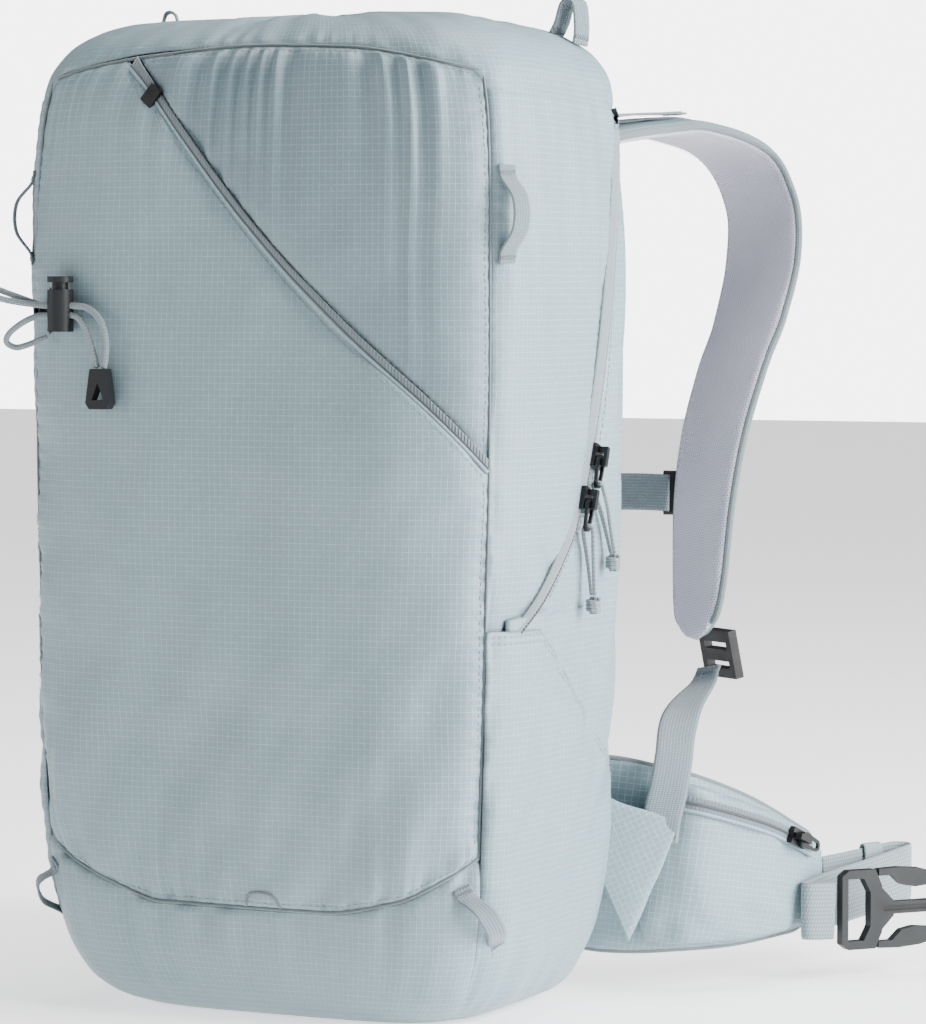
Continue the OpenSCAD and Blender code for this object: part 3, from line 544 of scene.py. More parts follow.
CLOTH = (0.175, 0.248, 0.278)
CLOTH_DEEP = (0.140, 0.200, 0.228)
cloth = ripstop("shell_cloth", CLOTH)
cloth_deep = ripstop("shade_cloth", CLOTH_DEEP)
lining = ripstop("lining", (0.36, 0.40, 0.42), rough=0.6, lines=1.08)
mesh_cloth = spacer_mesh("mesh", (0.50, 0.50, 0.59))
webbing = woven("webbing", (0.15, 0.20, 0.225), contrast=0.45)
belt_web = woven("belt_webbing", (0.20, 0.255, 0.28), rib=0.0016, cross=0.0021, contrast=0.45)
binding = woven("binding", (0.125, 0.16, 0.175), rib=0.0009, cross=0.0012)
zip_tape = woven("zip_tape", (0.17, 0.215, 0.235), rib=0.0009, cross=0.0011, contrast=0.22)
coil = moulded("zip_coil", (0.035, 0.038, 0.042), rough=0.5)
coil_light = woven("pocket_zip_rib", (0.11, 0.145, 0.165), rib=0.0021, cross=0.009, depth=0.0006)
thread = braided("thread", (0.30, 0.38, 0.41), contrast=0.15)
thread_deep = braided("thread_deep", (0.21, 0.27, 0.30), contrast=0.15)
cord_grey = braided("cord", (0.15, 0.185, 0.205))
elastic = braided("elastic", (0.16, 0.20, 0.22), pitch=0.0016, around=0.001, contrast=0.25)
black_plastic = moulded("black_plastic", (0.004, 0.004, 0.005), rough=0.5)
grey_plastic = moulded("grey_plastic", (0.008, 0.009, 0.010), rough=0.45)
sheet_plastic = moulded("sheet_plastic", (0.78, 0.79, 0.79), rough=0.35, wear=1.05)
slider_metal = painted("slider_metal", (0.005, 0.005, 0.006))
rod_metal = brushed("rod", (0.7, 0.7, 0.72))

# ---------------------------------------------------------------- sewn panels

class Panel:
    """A sewn panel of the skin between two angles and two heights, each a number or a function.

    by is "t" where the heights follow the angle and "z" where the angles follow the height."""

    def __init__(self, t0, t1, low, high, by="t", bulge=2.0, soft=13.0, dip=0.7, lift=0.0, folds=None,
                 open_edges=()):
        as_function = lambda v: v if callable(v) else (lambda q: np.full(np.shape(q), float(v)))
        self.t0, self.t1, self.low, self.high = (as_function(v) for v in (t0, t1, low, high))
        self.by, self.bulge, self.soft, self.dip, self.lift = by, bulge, soft, dip, lift
        self.folds, self.open_edges = folds, open_edges

    def edges(self, z, t):
        """Distances to the left, right, lower and upper edge."""
        a = arc(t)
        if self.by == "t":
            sides = arc(self.t0(0*z)), arc(self.t1(0*z))
            ends = self.low(t), self.high(t)
        else:
            sides = arc(self.t0(z)), arc(self.t1(z))
            ends = self.low(0*t), self.high(0*t)
        far = {"left": a - sides[0], "right": sides[1] - a, "low": z - ends[0], "high": ends[1] - z}
        return {k: np.maximum(v, 0) for k, v in far.items()}

    def out(self, z, t):
        z, t = np.broadcast_arrays(np.asarray(z, float), np.asarray(t, float))
        far = self.edges(z, t)
        near = [v for k, v in far.items() if k not in self.open_edges]
        d = np.full(z.shape, 400.0)
        for v in near:
            d = np.minimum(d, v)
        pillow = 1.0
        for v in near:
            pillow = pillow*(1 - np.exp(-v/self.soft))
        out = self.lift + self.bulge*pillow - self.dip*np.exp(-d/2.0)
        if self.folds:
            out = out + self.folds(arc(t), z, far, d)*ease(d/3.5 + 0.08)
        return out

    def point(self, z, t, lift=0.0):
        return skin(z, t, self.out(z, t) + lift)

    def mesh(self, name, cols, rows):
        j = np.linspace(0, 1, cols)[None, :]
        i = np.linspace(0, 1, rows)[:, None]
        if self.by == "t":
            a0, a1 = arc(self.t0(np.zeros(1))), arc(self.t1(np.zeros(1)))
            t = np.broadcast_to(turn(a0 + (a1 - a0)*j), (rows, cols))
            z = self.low(t) + (self.high(t) - self.low(t))*i
        else:
            z = np.broadcast_to(self.low(0*i) + (self.high(0*i) - self.low(0*i))*i, (rows, cols))
            a0, a1 = arc(self.t0(z)), arc(self.t1(z))
            t = turn(a0 + (a1 - a0)*j)
        p = self.point(z, t).reshape(-1, 3)
        uvs = np.stack([arc(t), z], -1).reshape(-1, 2)
        return new_object(name, p, grid_faces(rows, cols), uvs)


def waves(a, length, seed, wander=0.5):
    """Irregular rounded folds across the direction a."""
    phase = a/length + wander*rnd(a/55.0, seed)*2
    return 0.5 + 0.5*np.sin(2*math.pi*phase)


def soft_folds(a, z, seed, amp=1.0, size=(70.0, 110.0)):
    """Broad, shallow unevenness of slack cloth."""
    return amp*(rnd(a/size[0], z/size[1], seed) + 0.45*rnd(a/size[0]*2.3, z/size[1]*2.1, seed + 7))


def pucker(s, d, pitch=9.0, amp=0.55, reach=7.0, seed=0.0):
    """Short creases that a row of stitches pulls into the cloth beside it."""
    return amp*np.exp(-d/reach)*np.sin(2*math.pi*(s/pitch + 0.8*rnd(s/30.0, seed)))


def front_folds(a, z, far, d):
    top, low = far["high"], far["low"]
    out = soft_folds(a, z, 3.1, 2.0)
    out = out + 2.4*np.exp(-low/34)*(waves(a, 21.0, 1.7) - 0.5)*ease(low/5)
    out = out + 1.2*np.exp(-far["left"]/26)*rnd(z/24.0, a/60.0, 4.0)
    tall = np.exp(-top/30)*ease((-a - 28)/26)
    out = out + 2.6*tall*(waves(a, 15.0, 2.3) - 0.4)*ease(top/4)
    slant = rnd((a - z*0.55)/26.0, (a + z)/190.0, 9.0)
    out = out + 1.6*np.exp(-low/120)*slant*ease(low/12)
    return out + pucker(z, far["right"], seed=1) + pucker(z, far["left"], seed=2) + pucker(a, low, seed=3)


def upper_folds(a, z, far, d):
    top = far["high"]
    gather = waves(a, 17.0, 5.0, 0.8)**1.5*ease(top/3.5)
    reach = 26 + 34*(0.5 + 0.5*rnd(a/21.0, 8.0))
    out = 4.6*np.exp(-top/reach)*gather + soft_folds(a, z, 12.0, 1.6, (60.0, 90.0))
    out = out + 0.8*np.exp(-far["low"]/18)*rnd((a + z)/16.0, 3.0)
    return out + pucker(a, top, 6.0, 0.5, 5.0, 4.0) + pucker(z, far["right"], seed=5)


def side_folds(a, z, far, d):
    rise = ease((z - 196)/40)
    slant = rnd((a*0.9 + z*0.55)/17.0, (z - a)/150.0, 15.0)
    flow = rnd((a + z*0.12)/15.0, z/160.0, 18.0)
    low = np.exp(-(z - 200)/70)
    out = rise*(2.4*low*slant + 2.0*flow*ease((z - 300)/80) + soft_folds(a, z, 17.0, 1.4, (40.0, 80.0)))
    stitched = pucker(z, far["left"], 8.0, 0.5, 6.0, 6.0) + pucker(z, far["right"], 7.0, 0.4, 5.0, 7.0)
    return out + rise*stitched - 3.4*(1 - rise) - 1.2*ease((z - ZIP_TOP - 4.5)/4)


def rear_folds(a, z, far, d):
    slant = rnd((a - z*0.3)/14.0, (z + a)/120.0, 25.0)
    out = 1.4*slant + soft_folds(a, z, 27.0, 0.5, (30.0, 80.0)) + pucker(z, far["left"], 7.0, 0.35, 5.0, 8.0)
    return out*ease((z - 92)/20) + pucker(z, far["right"], 8.0, 0.4, 5.0, 9.0)


def wing_folds(a, z, far, d):
    fan = rnd((a*0.8 - z*0.5)/15.0, (a + z)/120.0, 31.0)
    low = 1.4*np.exp(-z/42)*rnd(a/11.0, z/80.0, 33.0)*ease(z/14)
    out = 1.7*fan*ease((z - 70)/40) + 1.5*low + soft_folds(a, z, 35.0, 1.3, (40.0, 60.0))
    return out + pucker(z, far["left"], seed=10)


def base_folds(a, z, far, d):
    out = 2.4*rnd(a/13.0, z/70.0, 41.0)*ease(z/16)*np.exp(-far["high"]/45)
    out = out + soft_folds(a, z, 43.0, 1.4)*ease(z/16)
    return out + pucker(a, far["high"], seed=11)


def back_folds(a, z, far, d):
    return soft_folds(a, z, 51.0, 0.7) + pucker(z, far["left"], seed=12) + pucker(z, far["right"], seed=13)


TAPE = 2.1
COIL_GAP, TAPE_W = 0.7, 7.5
ROW_IN = 3.0
zip_low = lambda z: main_zip(z) - TAPE
zip_high = lambda z: main_zip(z) + TAPE
wing_top = lambda t: np.minimum(FOLD_Z - 2, FOLD_Z - 2 - (np.abs(t) - 77)*1.9)
front_top = lambda t: np.minimum(top_seam(t), pocket_zip(t) - 2.6)

front_panel = Panel(-SEAM, SEAM, bottom_seam, front_top, bulge=2.6, folds=front_folds)
upper_panel = Panel(-38.5, SEAM, lambda t: np.minimum(pocket_zip(t) + 2.4, top_seam(t) - 0.5), top_seam,
                    bulge=2.4, folds=upper_folds, open_edges=("left",))
side_panel = Panel(SEAM, zip_low, 188, ZIP_TOP + 12, by="z", bulge=2.4, folds=side_folds,
                   open_edges=("low", "high"))
rear_panel = Panel(lambda z: np.where(z < 205, 66 + 0*z, zip_high(z)), BACK_EDGE, 86, ZIP_TOP - 3, by="z",
                   bulge=1.6, folds=rear_folds, open_edges=("low", "high"))
wing_panel = Panel(SEAM, 119, HEM_Z, wing_top, bulge=1.8, lift=1.8, dip=0.7, folds=wing_folds,
                   open_edges=("low", "right"))
base_front = Panel(-SEAM, SEAM, HEM_Z, bottom_seam, bulge=1.6, folds=base_folds,
                   open_edges=("low", "left", "right"))
base_back = Panel(118, 242, HEM_Z, GUSSET_TOP, bulge=0.8, folds=base_folds,
                  open_edges=("low", "left", "right"))
back_panel = Panel(BACK_EDGE, 360 - BACK_EDGE, GUSSET_TOP, ZIP_TOP - 5, bulge=0.8, folds=back_folds)


def path_on(panel, z, t, lift=0.0):
    """Points on a panel and the way out at each."""
    p = panel.point(z, t, lift)
    return p, unit(panel.point(z, t, lift + 1.0) - p)


def seam_cord(panel, z, t, lift):
    """The rounded ridge of a seam."""
    return tube("c", resample(panel.point(z, t, lift), 3.0), 0.8, 6)


def top_stitch(panel, z, t, lift=0.15):
    """A row of stitches on a panel."""
    return stitches(*path_on(panel, z, t, lift))


def sewn(name, parts, body, mat, nodes=(), thick=0.0, blend=None):
    """Finishes a piece: its name, thickness, material, the CAD nodes it stands for, and its body."""
    obj = join(parts, name) if len(parts) > 1 else parts[0]
    obj.name = name
    if thick:
        solidify(obj, thick)
    obj.data.materials.clear()
    obj.data.materials.append(mat)
    if nodes:
        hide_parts(*nodes)
    if blend:
        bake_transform(obj)
    else:
        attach(obj, body)
    return obj


FOLD = ("pack", "lid", (0, -0.088, 0.178), (0, -0.088, 0.226))


def both(panel, cols, rows, name, body, nodes, blend=None):
    """A side panel of shell cloth and its mirror image."""
    right = panel.mesh(name + "_right", cols, rows)
    left = mirrored(right, name + "_left")
    sewn(right.name, [right], body, cloth, nodes, CLOTH_T, blend)
    sewn(left.name, [left], body, cloth, (), CLOTH_T, blend)


def build_panels():
    """The sewn cloth panels of the front shell and of the pack."""
    front = front_panel.mesh("front_panel", 190, 230)
    sewn("front_panel", [front], None, cloth, ("front_pocket_panel", "front_panel_lower"),
         CLOTH_T, FOLD)
    upper = upper_panel.mesh("front_upper", 150, 110)
    sewn("front_upper", [upper], "lid", cloth_deep, ("front_upper_panel",), CLOTH_T)
    both(side_panel, 64, 150, "side_gusset", None, ("side_gussets",), FOLD)
    both(rear_panel, 44, 140, "rear_gusset", "pack", ("rear_gussets", "side_panels_lower"))
    both(wing_panel, 80, 90, "side_wing", "pack", ("side_wings",))
    parts = [base_front.mesh("base_front", 110, 30), base_back.mesh("base_back", 80, 30)]
    sewn("base_gusset", parts, "pack", cloth, ("lower_gusset",), CLOTH_T)
    sewn("back_cloth", [back_panel.mesh("back_cloth", 90, 110)], "pack", cloth_deep, ("back_panel",),
         CLOTH_T)
    sewn("base_cloth", [base_disc()], "pack", cloth, ("base_panel",))
    sewn("top_dome", [dome()], "lid", cloth, ("top_gusset",), CLOTH_T)


def base_disc():
    """The flat base, closed by rings to its centre."""
    ts = np.linspace(-180, 180, 97)[:-1]
    rim = skin(HEM_Z, ts)[:, :2]
    mid = np.array([0, 8.0])
    shares = (1.0, 0.97, 0.8, 0.55, 0.3, 0.1)
    verts, uvs = [], []
    for height in (0.0, 1.6):
        for s in shares:
            for p in rim:
                q = mid + (p - mid)*s
                verts.append((q[0], q[1], height))
                uvs.append(q)
    n = len(ts)
    per = len(shares)*n
    faces = []
    for half in (0, 1):
        f = grid_faces(len(shares), n, wrap=True, start=half*per)
        faces += f if half == 0 else [q[::-1] for q in f]
        last = half*per + (len(shares) - 1)*n
        ring = list(range(last, last + n))
        faces.append(ring if half == 0 else ring[::-1])
    for j in range(n):
        k = (j + 1) % n
        faces.append((j, per + j, per + k, k))
    return new_object("base_cloth", verts, faces, uvs)


def dome_low(t):
    """The height where the top panel starts at each angle."""
    a = np.abs((np.asarray(t, float) + 180) % 360 - 180)
    side = ease((a - SEAM + 1.5)/1.5)
    return top_seam(np.clip(a, 0, SEAM))*(1 - side) + (ZIP_TOP + 5)*side


def dome_out(z, t):
    """How far the top panel stands out, gathered at the front and flush with the sides."""
    a = np.abs((t + 180) % 360 - 180)
    front = 1 - ease((a - SEAM)/5)
    up = z - dome_low(t)
    out = 2.4*(1 - np.exp(-up/10)) - 0.7*np.exp(-up/2)
    s = arc((t + 180) % 360 - 180)
    out = out + 2.6*np.exp(-up/16)*(waves(s, 15.0, 61.0, 0.7) - 0.4)*ease(up/3)*front*(1 - ease(up/15))
    out = out + soft_folds(s, z, 63.0, 1.2, (45.0, 50.0))*ease(up/20)
    out = out + 1.2*rnd(s/17.0, z/60.0, 17.5)*ease(up/20)
    meet = side_panel.out(np.minimum(z, ZIP_TOP + 5), np.clip(a, SEAM, None)) + 0.2
    share = (1 - front)*(1 - ease((a - 104)/8))*np.exp(-up/22)
    return out*(1 - share) + meet*share


def dome():
    """The rounded top panel, closed by rings over its crown."""
    ts = np.linspace(-180, 180, 241)[:-1]
    rows = 46
    share = np.sin(np.linspace(0, math.pi/2, rows))[:, None]
    t = np.broadcast_to(ts, (rows, len(ts)))
    low = dome_low(t)
    z = low + (BODY_H - low)*share
    p = skin(z, t, dome_out(z, t))
    meridian = np.cumsum(np.linalg.norm(np.diff(p, axis=0, prepend=p[:1]), axis=2), 0) + low
    uvs = np.stack([np.broadcast_to(arc(((ts + 180) % 360) - 180), t.shape), meridian], -1)
    verts, uv = [p.reshape(-1, 3)], [uvs.reshape(-1, 2)]
    centre = p[-1].mean(0)
    for k in (0.8, 0.6, 0.4, 0.22, 0.08):
        ring = centre + (p[-1] - centre)*k
        uneven = 0.8*rnd(ring[:, 0]/34, ring[:, 1]/34, 66.0)
        ring[:, 2] = p[-1][:, 2]*k + centre[2]*(1 - k) + 1.6*(1 - k) + uneven
        verts.append(ring)
        uv.append(ring[:, :2] + np.array([300.0, 300.0]))
    verts, uv = np.vstack(verts), np.vstack(uv)
    n = len(ts)
    faces = grid_faces(rows + 5, n, wrap=True)
    last = (rows + 4)*n
    faces.append(list(range(last, last + n)))
    return new_object("top_dome", verts, faces, uv)


def build_seams():
    """The welts along the seams and the rows of stitches beside them."""
    lid_cords, pack_cords, lid_rows, pack_rows, deep_rows = [], [], [], [], []
    t = np.linspace(-SEAM, SEAM, 120)
    z = np.linspace(FOLD_Z + 6, 467, 90)
    low_z = np.linspace(GUSSET_TOP, FOLD_Z + 6, 40)
    for side in (-1, 1):
        lid_cords.append(seam_cord(front_panel, z, side*SEAM + 0*z, 0.3))
        pack_cords.append(seam_cord(front_panel, low_z, side*SEAM + 0*low_z, 0.3))
    lid_cords.append(seam_cord(upper_panel, top_seam(t), t, 0.5))
    pack_cords.append(seam_cord(front_panel, bottom_seam(t), t, 0.5))
    tab = curve_points([(60, 1.8), (66.6, 3.8), (66.6, 11.8), (60, 13.8)], 8)
    pack_cords.append(seam_cord(front_panel, tab[:, 0], tab[:, 1], 0.2))
    for side in (-1, 1):
        inner = turn(arc(side*SEAM) - side*ROW_IN)
        span = np.linspace(FOLD_Z + 6, 274 if side > 0 else 464, 90)
        lid_rows.append(top_stitch(front_panel, span, inner + 0*span))
        pack_rows.append(top_stitch(front_panel, low_z[2:], inner + 0*low_z[2:]))
    t_low = np.linspace(-SEAM + 1, SEAM - 1, 120)
    pack_rows.append(top_stitch(front_panel, bottom_seam(t_low) + ROW_IN, t_low))
    t_zip = np.linspace(-37, SEAM - 1.5, 140)
    for drop in (1.6, 5.4):
        lid_rows.append(top_stitch(front_panel, pocket_zip(t_zip) - 2.6 - drop, t_zip, 0.2))
    deep_rows.append(top_stitch(upper_panel, pocket_zip(t_zip) + 4.4, t_zip, 0.2))
    t_up = np.linspace(-36, SEAM - 1.5, 110)
    deep_rows.append(top_stitch(upper_panel, top_seam(t_up) - 2.6, t_up, 0.25))
    z_up = np.linspace(290, 462, 70)
    deep_rows.append(top_stitch(upper_panel, z_up, turn(arc(SEAM) - ROW_IN) + 0*z_up, 0.2))
    sewn("seam_welts_lid", lid_cords, "lid", binding)
    sewn("seam_welts_pack", pack_cords, "pack", binding)
    sewn("stitching_lid", lid_rows, "lid", thread)
    sewn("stitching_pack", pack_rows, "pack", thread)
    sewn("stitching_upper", deep_rows, "lid", thread_deep)
    lid_side, pack_side = [], []
    for side in (-1, 1):
        flip = np.array([side, 1, 1])
        zs = np.linspace(208, ZIP_TOP + 2, 120)
        p, out = path_on(side_panel, zs, turn(arc(zip_low(zs)) - 2.2), 0.2)
        lid_side.append(stitches(p*flip, out*flip))
        zs = np.linspace(212, ZIP_TOP - 5, 120)
        p, out = path_on(rear_panel, zs, turn(arc(zip_high(zs)) + 2.2), 0.2)
        pack_side.append(stitches(p*flip, out*flip))
        tw = np.linspace(SEAM + 1, 118, 90)
        for drop in (2.6, 6.0):
            p, out = path_on(wing_panel, wing_top(tw) - drop, tw, 0.2)
            pack_side.append(stitches(p*flip, out*flip))
        zs = np.linspace(GUSSET_TOP, ZIP_TOP - 6, 100)
        p = rear_panel.point(zs, BACK_EDGE + 0*zs, 0.2)
        pack_side.append(tube("c", resample(p*flip, 3.0), 1.1, 6))
    sewn("stitching_side_lid", lid_side, "lid", thread)
    sewn("stitching_side_pack", pack_side, "pack", thread)


# ---------------------------------------------------------------- zips

def strip(name, inner, outer, across=5):
    """A strip between two lines of points, with its UVs along it."""
    inner, outer = np.asarray(inner), np.asarray(outer)
    s = lengths((inner + outer)/2)
    wide = np.linalg.norm(outer - inner, axis=1)
    verts, uvs = [], []
    for k in np.linspace(0, 1, across):
        verts.append(inner + (outer - inner)*k)
        uvs.append(np.stack([wide*k, s], 1))
    verts, uvs = np.stack(verts, 1), np.stack(uvs, 1)
    return new_object(name, verts.reshape(-1, 3), grid_faces(len(inner), across), uvs.reshape(-1, 2))


def zip_teeth(name, path, out, pitch=2.3, wide=3.0, thick=1.1):
    """The coil of a closed zip: small rounded links, side by side."""
    dense = resample(np.hstack([path, out]), 0.5)
    s = lengths(dense[:, :3])
    verts, faces, uvs = [], [], []
    profile = ((-1, 0.0, 0.24), (-0.6, 0.9, 0.36), (0, 0.55, 0.3), (0.6, 0.9, 0.36), (1, 0.0, 0.24))
    for at in np.arange(pitch/2, s[-1] - pitch/2, pitch):
        row = np.array([np.interp(at, s, dense[:, k]) for k in range(6)])
        nxt = np.array([np.interp(at + 0.4, s, dense[:, k]) for k in range(3)])
        way, up = unit(nxt - row[:3]), unit(row[3:])
        side = unit(np.cross(way, up))
        start = len(verts)
        for x, h, half in profile:
            for y in (-1, 1):
                for z in (0, 1):
                    verts.append(row[:3] + side*x*wide/2 + way*y*half*pitch + up*(z*h*thick - 0.3))
                    uvs.append((x, at))
        for k in range(4):
            a, b = start + 4*k, start + 4*(k + 1)
            for i, j in ((0, 1), (1, 3), (3, 2), (2, 0)):
                faces.append((a + i, a + j, b + j, b + i))
        faces.append((start, start + 2, start + 3, start + 1))
        e = start + 16
        faces.append((e, e + 1, e + 3, e + 2))
    return new_object(name, verts, faces, uvs)


def zip_line(side, lift=0.0, shift=0.0):
    """Points along the main zip on one side, and the way out at each."""
    zs = np.linspace(197, ZIP_TOP - 6, 150)
    p = skin(zs, turn(arc(main_zip(zs)) + shift), lift)
    out = unit(skin(zs, main_zip(zs), 1.0) - skin(zs, main_zip(zs)))
    flip = np.array([side, 1, 1])
    return p*flip, out*flip


def back_line(z, lift):
    """Points along the zip's run across the back, and the way out at each."""
    ts = np.linspace(116.5, 360 - 116.5, 130)
    return skin(z + 0*ts, ts, lift), unit(skin(z + 0*ts, ts, 1.0) - skin(z + 0*ts, ts))


def build_zips():
    """The main zip: two woven tapes that meet over a coil, up both sides and across the back."""
    tapes = {"lid": [], "pack": []}
    coils = []
    for side in (-1, 1):
        for body, sign in (("lid", -1), ("pack", 1)):
            inner = zip_line(side, 1.3, sign*COIL_GAP)[0]
            outer = zip_line(side, -0.6, sign*TAPE_W)[0]
            tapes[body].append(strip("z", inner, outer))
        p, out = zip_line(side, 0.9)
        coils.append(zip_teeth("k", p, out))
    for body, sign in (("lid", 1), ("pack", -1)):
        inner = back_line(ZIP_TOP + sign*0.55, 1.5)[0]
        outer = back_line(ZIP_TOP + sign*5.6, 0.8)[0]
        tapes[body].append(strip("z", inner, outer))
    p, out = back_line(ZIP_TOP, 0.9)
    coils.append(zip_teeth("k", p, out))
    sewn("zip_tape_lid", tapes["lid"], None, zip_tape, ("zip_tape_front",), 0.6,
         blend=FOLD)
    sewn("zip_tape_rear", tapes["pack"], "pack", zip_tape, ("zip_tape_pack",), 0.6)
    sewn("zip_coil", coils, "pack", coil)
    ts = np.linspace(-38.5, SEAM - 0.6, 150)
    mid = pocket_zip(ts)
    tape = strip("z", skin(mid - 3.0, ts, 0.6), skin(mid + 3.4, ts, 0.9), across=6)
    sewn("pocket_zip_band", [tape], "lid", coil_light, ("pocket_zip_tape",), 0.8)
    fold = front_panel.point(mid - 2.9, ts, 1.1)
    sewn("pocket_zip_fold", [tube("f", resample(fold, 2.0), 1.2, 8)], "lid", cloth)
    slit = skin(mid - 1.4, ts, 1.2)
    sewn("pocket_zip_coil", [tube("f", resample(slit, 2.0), 0.55, 6)], "lid", coil)


# ---------------------------------------------------------------- inside

def build_inside():
    """The lining behind the front pocket, and the frame sheet and rod."""
    wall = Panel(-54, 54, FOLD_Z + 14, 446, bulge=1.0, lift=-14.0, dip=0.0,
                 folds=lambda a, z, far, d: soft_folds(a, z, 71.0, 0.8))
    sewn("pocket_lining", [wall.mesh("pocket_lining", 70, 70)], "lid", lining, ("pocket_wall",),
         CLOTH_T)
    for node, mat in (("frame_sheet", sheet_plastic), ("frame_rod", rod_metal)):
        dress(node, mat)


def dress(node, mat, bevel=0.0, segments=2):
    """A CAD part that stays, with its finish and softened edges."""
    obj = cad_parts[node]
    obj.data.materials.clear()
    obj.data.materials.append(mat)
    if bevel:
        mod = obj.modifiers.new("edges", "BEVEL")
        mod.width = bevel*MM
        mod.segments = segments
        mod.limit_method = "ANGLE"
        mod.angle_limit = math.radians(35)
        mod.harden_normals = False


# ---------------------------------------------------------------- harness and padding

PAD_W, PAD_T, STRAP_W, BELT_W, WEB_T, LOOP_W = 64.0, 9.0, 20.0, 30.0, 1.4, 10.0
PAD_ROUTE = [(x, y, z, a, b, 0, share*PAD_W, thick) for x, y, z, a, b, share, thick in (
    (57, 101, 430, 1, -0.1, 0.78, PAD_T - 3), (70, 152, 443, 0.97, -0.25, 0.95, PAD_T),
    (84, 200, 449, 0.92, -0.4, 1, PAD_T), (98, 228, 450, 0.89, -0.46, 1, PAD_T),
    (118, 262, 438, 0.86, -0.51, 1, PAD_T), (130, 271, 412, 0.83, -0.56, 1, PAD_T),
    (135, 263, 380, 0.83, -0.56, 1, PAD_T), (135, 245, 347, 0.83, -0.56, 0.95, PAD_T),
    (132, 228, 321, 0.83, -0.56, 0.92, PAD_T), (130, 208, 286, 0.83, -0.56, 0.88, PAD_T),
    (130, 194, 250, 0.83, -0.56, 0.82, PAD_T), (132, 183, 208, 0.83, -0.56, 0.7, PAD_T),
    (134, 174, 177, 0.83, -0.56, 0.5, PAD_T - 3))]


def upright(rows):
    """Rows of a band that stands on its edge, from (x, y, z, width, thickness)."""
    return [(x, y, z, 0, 0, 1, wide, thick) for x, y, z, wide, thick in rows]


FIN_ROUTE = upright([
    (100, 100, 70, 98, 7), (113, 102, 70, 100, 8), (129, 108, 68, 97, 9), (148, 124, 64.5, 90, 9),
    (168, 154, 57.5, 76, 9), (183, 185, 50.5, 56, 8), (190, 203, 46.5, 43, 6)])
POCKET_ROUTE = upright([
    (134, 99.5, 69, 80, 5), (147.3, 106, 67, 84, 12), (160.4, 115.2, 64.5, 80, 17),
    (181, 148.2, 57.5, 66, 15), (192.5, 180.8, 50.5, 46, 8), (197, 194, 48, 34, 4)])
BELT_ROUTE = [
    (192.5, 208.5, 45.5), (200, 228, 46.5), (211, 256, 48.5), (215, 264, 48.5), (220, 266, 48),
    (222, 260, 47.5), (214, 236, 44), (205.5, 208, 41), (200, 188, 39), (198, 178, 37.6), (197, 168, 37),
    (200.5, 166, 37), (205, 169.5, 36.8), (211.5, 177.5, 36.5)]


class Band:
    """The smooth middle line of a band with its width and thickness at each step."""

    def __init__(self, rows, step=3.0):
        path = resample(curve_points(rows, 12), step)
        self.at = path[:, :3]
        self.along = headings(self.at)
        side = path[:, 3:6] - self.along*np.sum(path[:, 3:6]*self.along, 1, keepdims=True)
        self.side = unit(side)
        self.up = np.cross(self.along, self.side)
        self.wide, self.thick = path[:, 6]/2, path[:, 7]/2
        self.s = lengths(self.at)

    def ends(self, radius, ease_in=True, ease_out=True):
        """A share that rounds the band's ends off, from a small value to 1."""
        total = self.s[-1]
        k = np.ones_like(self.s)
        if ease_in:
            x = np.clip(self.s/radius, 0, 1)
            k = np.minimum(k, np.sqrt(np.clip(1 - (1 - x)**2, 0, 1)))
        if ease_out:
            x = np.clip((total - self.s)/radius, 0, 1)
            k = np.minimum(k, np.sqrt(np.clip(1 - (1 - x)**2, 0, 1)))
        return np.maximum(k, 0.02)


def pad_loft(name, band, taper, around, belly, edge, folds):
    """A padded band: flat-edged in outline and crowned in section. Returns the object."""
    n = around
    w = np.linspace(0, 2*math.pi, n, endpoint=False)
    c, s = np.cos(w), np.sin(w)
    x = np.sign(c)*np.abs(c)**0.55
    h = np.sign(s)*(np.abs(s)**belly*(1 - edge) + edge*np.abs(s)**0.3)
    verts, uvs = [], []
    for i in range(len(band.at)):
        half_w, half_t = band.wide[i]*taper[i], band.thick[i]*min(1.0, taper[i]*1.3 + 0.05)
        rise = h*half_t + folds(x*half_w, band.s[i], s)*min(1.0, taper[i]*1.3)
        ring = band.at[i] + np.outer(x*half_w, band.side[i]) + np.outer(rise, band.up[i])
        verts.append(ring)
        uvs.append(np.stack([x*half_w + np.sign(s)*400, np.full(n, band.s[i])], 1))
    faces = grid_faces(len(verts), n, wrap=True)
    last = (len(verts) - 1)*n
    faces.append(list(range(n))[::-1])
    faces.append(list(range(last, last + n)))
    obj = new_object(name, np.vstack(verts), faces, np.vstack(uvs))
    obj["around"] = n
    return face_out(obj)


def two_faced(obj, band, inner, outer):
    """One finish on the side that up points to, and another on the other side."""
    obj.data.materials.clear()
    obj.data.materials.append(inner)
    obj.data.materials.append(outer)
    n = obj["around"]
    for poly in obj.data.polygons:
        k = sorted((v % n) for v in poly.vertices)
        mid = (k[0] + k[-1])/2 if k[-1] - k[0] < n/2 else n - 0.5
        poly.material_index = 0 if mid < n/2 else 1


